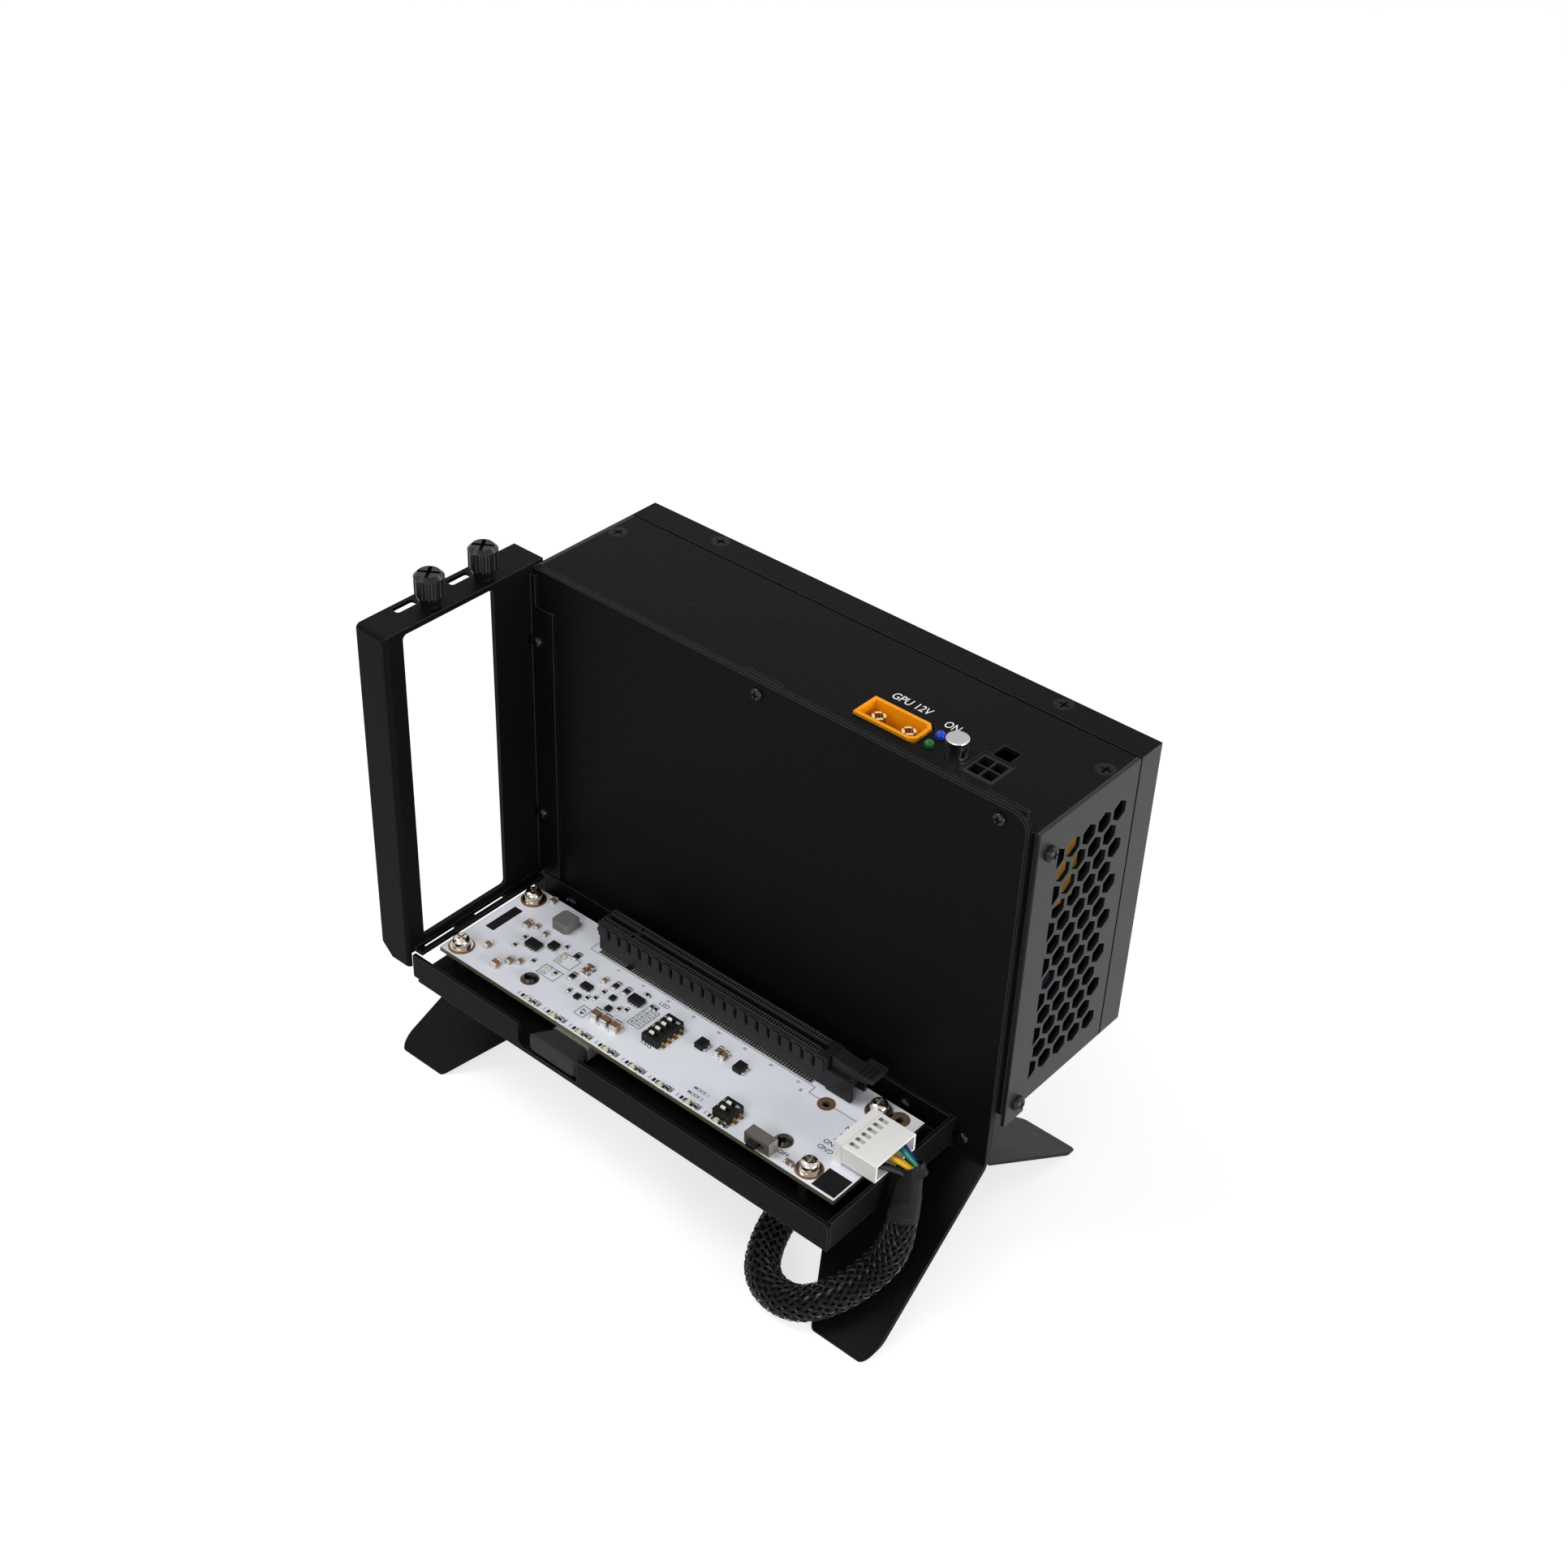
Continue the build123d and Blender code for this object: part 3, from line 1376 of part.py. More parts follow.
with BuildPart() as fan_frame:
    with BuildSketch(Plane.YZ.offset(fan_front)):
        with Locations((fan_y, fan_z)):
            RectangleRounded(fan_size, fan_size, 3.0)
            Circle(fan_bore, mode=Mode.SUBTRACT)
            with GridLocations(fan_pitch, fan_pitch, 2, 2):
                Circle(screw_hole, mode=Mode.SUBTRACT)
    extrude(amount=fan_depth)
    with BuildSketch(Plane.YZ.offset(motor_x)):
        with Locations((fan_y, fan_z)):
            Circle(hub_r)
            for turn in (15, 135, 255):
                with Locations(Location((0, 0), turn)):
                    with Locations((fan_bore / 2 + strut_reach, 0)):
                        Rectangle(fan_bore, strut_width)
    extrude(amount=motor_depth)
    with Locations(Location((motor_x - axle_length / 2, fan_y, fan_z), (0, 90, 0))):
        Cylinder(axle_r, axle_length)
save(fan_frame, "fan_frame")

with BuildPart() as fan_rotor:
    with Locations(Location((rotor_mid, fan_y, fan_z), (0, 90, 0))):
        Cylinder(hub_r, rotor_depth)
    for blade in range(blade_count):
        turn = 360 * blade / blade_count
        with Locations(Location((rotor_mid, fan_y, fan_z), (turn, 0, 0))):
            with Locations(Location((0, 0, (hub_r + rotor_r) / 2 - blade_root), (0, 0, blade_pitch))):
                Box(rotor_depth, blade_thick, rotor_r - hub_r)
    with Locations(Location((motor_x - axle_length / 2, fan_y, fan_z), (0, 90, 0))):
        Cylinder(axle_r + slide_fit, axle_length + 1.0, mode=Mode.SUBTRACT)
save(fan_rotor, "fan_rotor")

inlet_proud = 1.6
inlet_depth = 17.0
inlet_well = (22.5, 15.0, 13.0)
with BuildPart() as ac_inlet:
    span_box(
        (psu_left - inlet_proud, psu_left),
        (inlet_y - inlet_rim[0] / 2, inlet_y + inlet_rim[0] / 2),
        (inlet_z - inlet_rim[1] / 2, inlet_z + inlet_rim[1] / 2),
    )
    fillet(ac_inlet.edges().filter_by(Axis.X), 2.0)
    span_box(
        (psu_left, psu_left + inlet_depth),
        (inlet_y - inlet_cut[0] / 2, inlet_y + inlet_cut[0] / 2),
        (inlet_z - inlet_cut[1] / 2, inlet_z + inlet_cut[1] / 2),
    )
    span_box(
        (psu_left - inlet_proud, psu_left - inlet_proud + inlet_well[2]),
        (inlet_y - inlet_well[0] / 2, inlet_y + inlet_well[0] / 2),
        (inlet_z - inlet_well[1] / 2, inlet_z + inlet_well[1] / 2),
        mode=Mode.SUBTRACT,
    )
save(ac_inlet, "ac_inlet")

blade_places = [(-7.0, -2.0), (7.0, -2.0), (0.0, 2.0)]
inlet_blade = (9.0, 2.0, 4.0)
with BuildPart() as inlet_blades:
    well_end = psu_left - inlet_proud + inlet_well[2]
    for y, z in blade_places:
        with Locations((well_end - inlet_blade[0] / 2, inlet_y + y, inlet_z + z)):
            Box(*inlet_blade)
save(inlet_blades, "inlet_blades")

panel_left = psu_left + 27.0
panel_right = psu_right - 8.0
panel_low = psu_lift + 5.0
panel_high = psu_top - 17.0
post_height = 5.0
panel_y = front_inner + post_height
panel_back = panel_y + board_thick
panel_posts = [
    (x, z) for x in (panel_left + 5.0, panel_right - 5.0) for z in (panel_low + 5.0, panel_high - 5.0)
]

with BuildPart() as psu_circuit_board:
    span_box((panel_left, panel_right), (panel_y, panel_back), (panel_low, panel_high))
save(psu_circuit_board, "psu_circuit_board")

with BuildPart() as psu_posts:
    with Locations(*[Location((x, front_inner + post_height / 2, z), (90, 0, 0)) for x, z in panel_posts]):
        Cylinder(post_r, post_height)
save(psu_posts, "psu_posts")

core_size = (33.0, 30.0, 27.0)
coil_size = (24.0, 25.0, 34.0)
core_place = (psu_right - 27.0, psu_top - 33.0)
with BuildPart() as transformer:
    x, z = core_place
    with Locations((x, panel_back + core_size[1] / 2, z)):
        Box(*core_size)
    with Locations((x, panel_back + core_size[1] / 2, z)):
        Box(*coil_size)
    fillet(transformer.edges().filter_by(Axis.Y).group_by(Axis.Z)[-1], 2.0)
save(transformer, "transformer")

tall_r = 9.0
tall_height = 30.0
tall_places = [
    (psu_left + 46.0, psu_lift + 22.0),
    (psu_left + 46.0, psu_lift + 44.0),
    (psu_right - 22.0, psu_lift + 18.0),
]
with BuildPart() as psu_capacitors:
    with Locations(*[Location((x, panel_back + tall_height / 2, z), (90, 0, 0)) for x, z in tall_places]):
        Cylinder(tall_r, tall_height)
    chamfer(psu_capacitors.edges().filter_by(GeomType.CIRCLE).group_by(Axis.Y)[-1], 1.0)
save(psu_capacitors, "psu_capacitors")

sink_x = psu_right - 74.0
sink_low = psu_lift + 12.0
sink_tall = 50.0
sink_reach = 30.0
fin_count = 5
fin_pitch = 4.0
fin_thick = 1.6
fin_first = 6.0
fin_reach = 14.0
sink_web = 3.0
with BuildPart() as heat_sink:
    tall = (sink_low, sink_low + sink_tall)
    span_box((sink_x, sink_x + sink_web), (panel_back, panel_back + sink_reach), tall)
    for fin in range(fin_count):
        y = panel_back + fin_first + fin * fin_pitch
        span_box((sink_x, sink_x + fin_reach), (y, y + fin_thick), tall)
save(heat_sink, "heat_sink")

choke_place = (psu_left + 82.0, psu_lift + 30.0)
choke_r = 14.0
choke_bore = 5.0
choke_depth = 13.0
with BuildPart() as choke:
    with BuildSketch(Plane.XZ.offset(-panel_back)):
        with Locations(choke_place):
            Circle(choke_r)
            Circle(choke_bore, mode=Mode.SUBTRACT)
    extrude(amount=-choke_depth)
    chamfer(choke.edges().filter_by(GeomType.CIRCLE), 2.0)
save(choke, "choke")
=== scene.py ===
"""Looks of an open graphics card dock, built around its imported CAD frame.

Every length is in metres. The frame's box of a node says where things are, and sizes in
millimetres are turned into metres by MM where they are named.
"""

import logging
import math
from dataclasses import dataclass
from enum import Enum
from typing import Optional, Sequence, Union

import bpy
import numpy as np
from mathutils import Matrix, Vector


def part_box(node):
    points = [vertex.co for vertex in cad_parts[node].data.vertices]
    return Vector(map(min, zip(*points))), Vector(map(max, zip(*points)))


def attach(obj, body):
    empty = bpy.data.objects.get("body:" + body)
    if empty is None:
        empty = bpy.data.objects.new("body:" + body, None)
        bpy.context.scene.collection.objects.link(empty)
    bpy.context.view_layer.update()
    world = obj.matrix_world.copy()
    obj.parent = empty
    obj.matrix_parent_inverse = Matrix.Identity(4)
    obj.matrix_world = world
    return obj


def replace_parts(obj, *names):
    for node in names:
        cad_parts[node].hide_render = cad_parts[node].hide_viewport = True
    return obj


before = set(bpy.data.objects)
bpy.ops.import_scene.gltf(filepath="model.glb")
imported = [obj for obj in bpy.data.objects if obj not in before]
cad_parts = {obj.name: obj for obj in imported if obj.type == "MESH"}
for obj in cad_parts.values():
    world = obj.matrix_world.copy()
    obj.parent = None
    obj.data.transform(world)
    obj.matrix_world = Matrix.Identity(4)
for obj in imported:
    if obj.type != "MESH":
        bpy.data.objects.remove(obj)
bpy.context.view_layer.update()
MM = 0.001
WELD = 0.002 * MM  # corners this close are one
BROAD = 24.0  # size of a finish's slow drift, in grains
BODY = "dock"
log = logging.getLogger("dock")

Number = Union[float, "Value"]
Colour = tuple[float, float, float]


class Value:
    """A shader value: wraps an output socket, and Python operators add Math nodes to its graph."""

    def __init__(self, graph: "Graph", socket: bpy.types.NodeSocket) -> None:
        """Keep the graph and the socket."""
        self.graph = graph
        self.socket = socket

    def math(self, operation: str, *others: Number) -> "Value":
        """Add a Math node on this value.

        Args:
            operation: The Math node's operation.
            others: The further operands, numbers or values.

        Returns:
            The node's result.
        """
        return self.graph.node("ShaderNodeMath", {"operation": operation}, (self, *others))

    def __add__(self, other: Number) -> "Value":
        """Sum."""
        return self.math("ADD", other)

    __radd__ = __add__

    def __mul__(self, other: Number) -> "Value":
        """Product."""
        return self.math("MULTIPLY", other)

    __rmul__ = __mul__

    def __sub__(self, other: Number) -> "Value":
        """Difference."""
        return self.math("SUBTRACT", other)

    def __rsub__(self, other: Number) -> "Value":
        """Difference taken from a number."""
        return self.graph.node("ShaderNodeMath", {"operation": "SUBTRACT"}, (other, self))

    def __truediv__(self, other: Number) -> "Value":
        """Quotient."""
        return self.math("DIVIDE", other)

    def __abs__(self) -> "Value":
        """Size without its sign."""
        return self.math("ABSOLUTE")

    def ramp(self, low: float, high: float) -> "Value":
        """Smooth step from 0 at low to 1 at high, either way round.

        Args:
            low: Where the step is 0.
            high: Where the step is 1.

        Returns:
            The step's value.
        """
        settings = {"interpolation_type": "SMOOTHSTEP"}
        ends = {"Value": self, "From Min": low, "From Max": high}
        return self.graph.node("ShaderNodeMapRange", settings, ends)


class Graph:
    """The node tree of one material, with one method for every kind of node."""

    def __init__(self, name: str) -> None:
        """Start a material with a Principled shader."""
        self.material = bpy.data.materials.new(name)
        self.material.use_nodes = True
        self.tree = self.material.node_tree
        self.shader = self.tree.nodes["Principled BSDF"]
        self.output = self.tree.nodes["Material Output"]

    def node(
        self, kind: str, settings: Optional[dict] = None, inputs: object = (), out: object = 0
    ) -> Value:
        """Add any node.

        Args:
            kind: The node's type name.
            settings: Attributes set before the sockets, or a ramp's stops under "stops".
            inputs: Values by place, or by socket name or index in a dict.
            out: The output socket's name or index.

        Returns:
            The chosen output.
        """
        node = self.tree.nodes.new(kind)
        for key, value in (settings or {}).items():
            if key == "stops":
                for element, (place, colour) in zip(node.color_ramp.elements, value):
                    element.position = place
                    element.color = (*colour, 1.0)
            else:
                setattr(node, key, value)
        pairs = inputs.items() if isinstance(inputs, dict) else enumerate(inputs)
        for key, value in pairs:
            self.plug(node.inputs[key], value)
        return Value(self, node.outputs[out])

    def plug(self, socket: bpy.types.NodeSocket, value: object) -> None:
        """Link a value to a socket, or set a constant on it.

        Args:
            socket: The input socket.
            value: A Value, a number or a colour.
        """
        if isinstance(value, Value):
            self.tree.links.new(value.socket, socket)
        elif isinstance(value, (tuple, list)) and len(value) == 3 and socket.type == "RGBA":
            socket.default_value = (*value, 1.0)
        else:
            socket.default_value = value

    def place(self) -> tuple[Value, Value, Value]:
        """Object coordinates as three values, in metres."""
        coords = self.coords()
        return tuple(self.node("ShaderNodeSeparateXYZ", None, (coords,), axis) for axis in "XYZ")

    def coords(self) -> Value:
        """Object coordinates as one vector."""
        return self.node("ShaderNodeTexCoord", None, (), "Object")

    def noise(self, size: float, detail: float = 2.0, stretch: Sequence[float] = (1, 1, 1)) -> Value:
        """Noise with grains of a given size.

        Args:
            size: Grain size in metres.
            detail: Octaves of finer noise.
            stretch: Scale along each axis before the noise.

        Returns:
            A value from 0 to 1.
        """
        vector = self.node("ShaderNodeMapping", None, {"Vector": self.coords(), "Scale": tuple(stretch)})
        inputs = {"Vector": vector, "Scale": 1.0 / size, "Detail": detail}
        return self.node("ShaderNodeTexNoise", None, inputs, 0)

    def mix(self, mask: Number, first: object, second: object) -> Value:
        """Mix two colours by a mask.

        Args:
            mask: 0 gives the first colour and 1 the second.
            first: A colour or a value.
            second: A colour or a value.

        Returns:
            The mixed colour.
        """
        settings = {"data_type": "RGBA"}
        return self.node("ShaderNodeMix", settings, {0: mask, 6: first, 7: second}, 2)

    def bump(self, height: Value, distance: float, strength: float = 1.0) -> None:
        """Send a height to the shader's normal.

        Args:
            height: Height from 0 to 1.
            distance: Depth of the relief in metres.
            strength: Share of the relief that shows.
        """
        inputs = {"Height": height, "Distance": distance, "Strength": strength}
        self.surface(Normal=self.node("ShaderNodeBump", None, inputs))

    def surface(self, **sockets: object) -> None:
        """Set or link the shader's sockets, named with underscores for spaces."""
        for key, value in sockets.items():
            self.plug(self.shader.inputs[key.replace("_", " ")], value)


class SkyGraph(Graph):
    """The node tree of the surroundings."""

    def __init__(self, name: str) -> None:
        """Start a world with a Background shader."""
        self.material = bpy.data.worlds.new(name)
        self.material.use_nodes = True
        self.tree = self.material.node_tree
        self.shader = self.tree.nodes["Background"]
        self.output = self.tree.nodes["World Output"]


def shade(colour: Colour, factor: float) -> Colour:
    """A colour made lighter or darker by a factor."""
    return tuple(min(1.0, channel * factor) for channel in colour)


@dataclass(frozen=True)
class Finish:
    """A plain solid finish with grain in its colour, gloss and relief."""

    name: str
    colour: Colour
    roughness: float = 0.5
    metallic: float = 0.0
    grain: float = 0.6 * MM
    relief: float = 0.02 * MM
    spread: float = 0.12
    gloss_spread: float = 0.08
    specular: float = 0.5
    coat: float = 0.0

    def build(self) -> bpy.types.Material:
        """Make the material.

        Returns:
            The finished material.
        """
        graph = Graph(self.name)
        fine = graph.noise(self.grain)
        broad = graph.noise(BROAD * self.grain, 1.0)
        graph.surface(
            Base_Color=self.tint(graph, broad),
            Roughness=self.roughness + self.gloss_spread * (broad + 0.5 * fine - 0.75),
            Metallic=self.metallic,
            Specular_IOR_Level=self.specular,
            Coat_Weight=self.coat,
        )
        graph.bump(self.height(graph, fine), self.relief)
        self.extra(graph)
        return graph.material

    def tint(self, graph: Graph, broad: Value) -> Value:
        """Colour that drifts a little over the surface."""
        return graph.mix(broad, shade(self.colour, 1 - self.spread), shade(self.colour, 1 + self.spread))

    def height(self, graph: Graph, fine: Value) -> Value:
        """Relief of the surface, here the fine grain."""
        return fine

    def extra(self, graph: Graph) -> None:
        """Anything else a finish needs; a plain finish needs nothing."""


@dataclass(frozen=True)
class PowderCoat(Finish):
    """Baked powder on folded steel: leathery grain, with edges that catch the light through rounded normals
    and a painted highlight.
    """

    edge: float = 0.45 * MM
    # painted highlight: the pale colour laid along the coat's edges
    edge_colour: Colour = (0.045, 0.045, 0.047)

    def tint(self, graph: Graph, broad: Value) -> Value:
        """Coat colour with a painted highlight: paler on the edges, where the rounded normal leaves the
        flat one.
        """
        coat = super().tint(graph, broad)
        bevel = graph.node("ShaderNodeBevel", {"samples": 6}, {"Radius": self.edge})
        flat = graph.node("ShaderNodeNewGeometry", None, (), "Normal")
        turn = graph.node("ShaderNodeVectorMath", {"operation": "DOT_PRODUCT"}, (bevel, flat), "Value")
        # painted highlight: mix towards the pale edge colour where the bevel normal turns away from the
        # flat one
        return graph.mix(turn.ramp(0.99, 0.86), coat, self.edge_colour)

    def height(self, graph: Graph, fine: Value) -> Value:
        """Fine noise over round cells."""
        place = {"Vector": graph.coords(), "Scale": 0.8 / self.grain}
        cells = graph.node("ShaderNodeTexVoronoi", None, place)
        return 0.55 * fine + 0.45 * cells.ramp(0.1, 0.7)

    def extra(self, graph: Graph) -> None:
        """Round the edges' normals under the grain."""
        bevel = graph.node("ShaderNodeBevel", {"samples": 6}, {"Radius": self.edge})
        relief = graph.shader.inputs["Normal"].links[0].from_node
        graph.plug(relief.inputs["Normal"], bevel)


@dataclass(frozen=True)
class BoardMask(Finish):
    """White solder mask over a glass fibre board with pale green sawn edges."""

    edge_colour: Colour = (0.11, 0.105, 0.06)

    def tint(self, graph: Graph, broad: Value) -> Value:
        """White on the faces and fibre on the edges, told apart by the normal."""
        face = super().tint(graph, broad)
        normal = graph.node("ShaderNodeNewGeometry", None, (), "Normal")
        upright = abs(graph.node("ShaderNodeSeparateXYZ", None, (normal,), "Z"))
        return graph.mix(upright.ramp(0.4, 0.6), self.edge_colour, face)


@dataclass(frozen=True)
class CappedButton(Finish):
    """Bright plated side under a matt cap, told apart by height."""

    cap_colour: Colour = (0.42, 0.42, 0.43)
    cap_height: float = 0.0

    def extra(self, graph: Graph) -> None:
        """Make the top face matt and pale."""
        height = graph.place()[2]
        cap = height.ramp(self.cap_height - 0.25 * MM, self.cap_height - 0.1 * MM)
        graph.surface(
            Base_Color=graph.mix(cap, self.colour, self.cap_colour),
            Roughness=self.roughness + 0.4 * cap,
            Metallic=1.0 - 0.75 * cap,
        )


@dataclass(frozen=True)
class TapeCloth(Finish):
    """Cloth tape: a fine square weave that follows the piece's own UV map."""

    threads: tuple[float, float] = (40.0, 22.0)

    def height(self, graph: Graph, fine: Value) -> Value:
        """Two crossed rows of rounded threads from sines of the UV map."""
        uv = graph.node("ShaderNodeTexCoord", None, (), "UV")
        waves = [
            abs((graph.node("ShaderNodeSeparateXYZ", None, (uv,), axis) * (math.pi * count)).math("SINE"))
            for axis, count in zip("XY", self.threads)
        ]
        return 0.4 * waves[0] + 0.4 * waves[1] + 0.2 * fine


@dataclass(frozen=True)
class Winding(Finish):
    """Wire or tape wound round a core: fine parallel ridges across an axis."""

    pitch: float = 0.9 * MM
    axis: int = 2

    def height(self, graph: Graph, fine: Value) -> Value:
        """Ridges from a sine of the distance along the winding's axis."""
        along = graph.place()[self.axis]
        return 0.8 * abs((along * (math.pi / self.pitch)).math("SINE")) + 0.2 * fine


@dataclass(frozen=True)
class Brushed(Finish):
    """Metal with fine drawn lines along X."""

    def height(self, graph: Graph, fine: Value) -> Value:
        """Noise stretched along the drawing direction."""
        return graph.noise(self.grain, 3.0, (0.06, 1.0, 1.0))


class Look(Enum):
    """The finishes of the dock's pieces."""

    SHEET = PowderCoat(
        "powder_coat", (0.0042, 0.0042, 0.0045), 0.4, 0, 0.75 * MM, 0.09 * MM, specular=0.034,
    )
    # painted light: a lighter, glossier copy of the same powder coat for the box's ends and the back
    # cover's right end
    VENT_SHEET = PowderCoat(
        "powder_coat_painted_light", (0.007, 0.007, 0.0074), 0.38, relief=0.04 * MM, specular=0.22,
    )
    # painted light: a lighter, glossier copy of the black screw finish for the screws in the box's ends
    END_SCREW = Finish("end_screw", (0.006, 0.006, 0.0064), 0.36, specular=0.26)
    BLACK_SCREW = Finish("black_screw", (0.005, 0.005, 0.0054), 0.28, specular=0.3)
    SUNK_SCREW = Finish("black_flat_screw", (0.004, 0.004, 0.0043), 0.34, specular=0.1)
    NICKEL = Finish("nickel_plate", (0.6, 0.54, 0.47), 0.14, 1.0, 0.3 * MM, 0.004 * MM, 0.08)
    COPPER = Finish("bare_copper", (0.2, 0.105, 0.06), 0.45, 0.5, 0.3 * MM, 0.01 * MM, 0.2)
    MASK = BoardMask("white_mask", (0.76, 0.78, 0.84), 0.4, 0, 0.5 * MM, 0.004 * MM, 0.03, specular=0.3)
    # dark print, also used for the painted shadow under the slot contacts
    INK = Finish("dark_print_and_shade", (0.006, 0.006, 0.007), 0.6, 0, 0.2 * MM, 0.005 * MM, specular=0.1)
    WHITE_INK = Finish("white_print", (0.82, 0.82, 0.82), 0.6, 0, 0.2 * MM, 0.005 * MM, 0.04)
    SLOT = Finish("slot_moulding", (0.0085, 0.0087, 0.0098), 0.4, 0, 0.35 * MM, 0.015 * MM, specular=0.2)
    # painted highlight: a lighter copy of the slot's black moulding for the comb's walls
    COMB = Finish("slot_comb", (0.04, 0.04, 0.042), 0.45, 0, 0.3 * MM, 0.01 * MM, specular=0.2)
    SWITCH = Finish("switch_moulding", (0.008, 0.008, 0.0085), 0.45, 0, 0.25 * MM, 0.01 * MM, specular=0.15)
    SLIDER = Finish("slider_moulding", (0.8, 0.76, 0.68), 0.45, 0, 0.2 * MM, 0.01 * MM, 0.05)
    GOLD = Finish("gold_plate", (0.72, 0.48, 0.2), 0.28, 1.0, 0.25 * MM, 0.006 * MM, 0.12)
    BRASS = Brushed("turned_brass", (0.8, 0.62, 0.36), 0.2, 1.0, 0.2 * MM, 0.008 * MM)
    NYLON = Finish("white_nylon", (0.77, 0.76, 0.74), 0.42, 0, 0.5 * MM, 0.01 * MM, 0.03)
    SLEEVE = Finish("sleeve_fibre", (0.011, 0.011, 0.012), 0.34, 0, 0.3 * MM, 0.01 * MM, 0.3, specular=0.22)
    # painted shade in the plug's recessed windows: a grey bed and a darker deep end on the white nylon
    WINDOW = Finish("window_bed_shade", (0.4, 0.395, 0.38), 0.6, 0, 0.3 * MM, 0.01 * MM, specular=0.2)
    DEEP = Finish("window_deep", (0.12, 0.117, 0.11), 0.7, 0, 0.3 * MM, 0.01 * MM, specular=0.1)
    # painted shade: near black, laid where holes and the box's joint show only shade
    GAP = Finish("painted_shade_black", (0.0012, 0.0012, 0.0012), 0.9, 0, 0.4 * MM, 0.01 * MM, specular=0.0)
    # the braid's core, the wires' black with painted shade under the ribbons; also painted shade in the
    # slot's pits
    BUNDLE = Finish("wire_bundle_and_shade", (0.002, 0.002, 0.002), 0.7, 0, 0.4 * MM, 0.02 * MM, specular=0.05)
    SHRINK = TapeCloth(
        "cloth_shrink", (0.006, 0.006, 0.0064), 0.42, 0, 0.4 * MM, 0.35 * MM, 0.3, specular=0.12,
    )
    RUBBER = Finish("black_rubber", (0.006, 0.006, 0.006), 0.6, 0, 0.4 * MM, 0.02 * MM, specular=0.2)
    RIVET = Finish("black_rivet", (0.005, 0.005, 0.005), 0.16, 0, 0.3 * MM, 0.004 * MM)
    PLUG_RUBBER = Finish("grey_rubber", (0.02, 0.02, 0.021), 0.62, 0, 0.3 * MM, 0.03 * MM, specular=0.2)
    FERRITE = Finish("grey_ferrite", (0.15, 0.145, 0.143), 0.6, 0, 0.25 * MM, 0.02 * MM, 0.15, specular=0.2)
    CHIP = Finish("chip_moulding", (0.007, 0.007, 0.0075), 0.5, 0, 0.2 * MM, 0.015 * MM, specular=0.15)
    TIN = Finish("tinned_end", (0.6, 0.59, 0.57), 0.34, 1.0, 0.2 * MM, 0.01 * MM, 0.1)
    TAN = Finish("tan_ceramic", (0.2, 0.1, 0.05), 0.4, 0, 0.25 * MM, 0.01 * MM, 0.15, specular=0.3)
    RESISTOR = Finish("resistor_glaze", (0.012, 0.012, 0.014), 0.35, 0, 0.2 * MM, 0.006 * MM, specular=0.2)
    LAMP = Finish("lamp_resin", (0.66, 0.66, 0.36), 0.25, 0, 0.2 * MM, 0.006 * MM, 0.1, coat=0.3)
    CAN = Brushed("plated_can", (0.32, 0.295, 0.27), 0.2, 0.65, 0.3 * MM, 0.006 * MM)
    ORANGE = Finish("orange_moulding", (0.9, 0.34, 0.002), 0.4, 0, 0.5 * MM, 0.01 * MM, 0.05, specular=0.2)
    GREEN_LAMP = Finish("green_lamp", (0.004, 0.12, 0.015), 0.16, 0, 0.3 * MM, 0.003 * MM, specular=0.3)
    BLUE_LAMP = Finish("blue_lamp", (0.006, 0.04, 0.42), 0.16, 0, 0.3 * MM, 0.003 * MM, specular=0.3)
    FIBRE = Finish("green_board", (0.03, 0.13, 0.05), 0.4, 0, 0.5 * MM, 0.006 * MM)
    TAPE = Winding("yellow_tape", (0.22, 0.11, 0.01), 0.4, 0, 0.5 * MM, 0.05 * MM, pitch=9 * MM)
    COIL = Winding(
        "enamelled_wire", (0.42, 0.17, 0.05), 0.3, 0.8, 0.4 * MM, 0.2 * MM, pitch=1.2 * MM, axis=0,
    )
    CELL = Finish("sleeved_can", (0.01, 0.012, 0.03), 0.3, 0, 0.4 * MM, 0.006 * MM, coat=0.2)
    SINK = Brushed("drawn_aluminium", (0.6, 0.6, 0.61), 0.34, 1.0, 0.4 * MM, 0.02 * MM)
    BLACK_WIRE = Finish("black_wire", (0.008, 0.008, 0.008), 0.35, 0, 0.3 * MM, 0.006 * MM, specular=0.3)
    YELLOW_WIRE = Finish("yellow_wire", (0.8, 0.46, 0.008), 0.35, 0, 0.3 * MM, 0.006 * MM, 0.06)
    GREEN_WIRE = Finish("green_wire", (0.005, 0.2, 0.13), 0.35, 0, 0.3 * MM, 0.006 * MM, 0.06)
    BLUE_WIRE = Finish("blue_wire", (0.012, 0.022, 0.26), 0.35, 0, 0.3 * MM, 0.006 * MM, 0.06)

    def material(self) -> bpy.types.Material:
        """The finish's material, made once."""
        return bpy.data.materials.get(self.value.name) or self.value.build()


def dress(look: Look, *nodes: str) -> None:
    """Give CAD nodes a finish.

    Args:
        look: The finish.
        nodes: Names of the nodes.
    """
    for name in nodes:
        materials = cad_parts[name].data.materials
        materials.clear()
        materials.append(look.material())


def dress_end(look: Look, node: str, depth: float = 0.5 * MM) -> None:
    """Give a dressed node's right end a second finish.

    The end is every face within a small depth of the node's greatest x whose outward x is over 0.9.

    Args:
        look: The finish of the end.
        node: Name of the node.
        depth: How far from the greatest x a face's middle may lie.
    """
    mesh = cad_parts[node].data
    normals, middles = np.empty((2, len(mesh.polygons), 3), np.float32)
    mesh.polygons.foreach_get("normal", normals.ravel())
    mesh.polygons.foreach_get("center", middles.ravel())
    at_end = (normals[:, 0] > 0.9) & (middles[:, 0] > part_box(node)[1].x - depth)
    mesh.materials.append(look.material())
    mesh.polygons.foreach_set("material_index", at_end.astype(np.int32))
    mesh.update()
    log.info("%s: %d faces at the right end", node, at_end.sum())


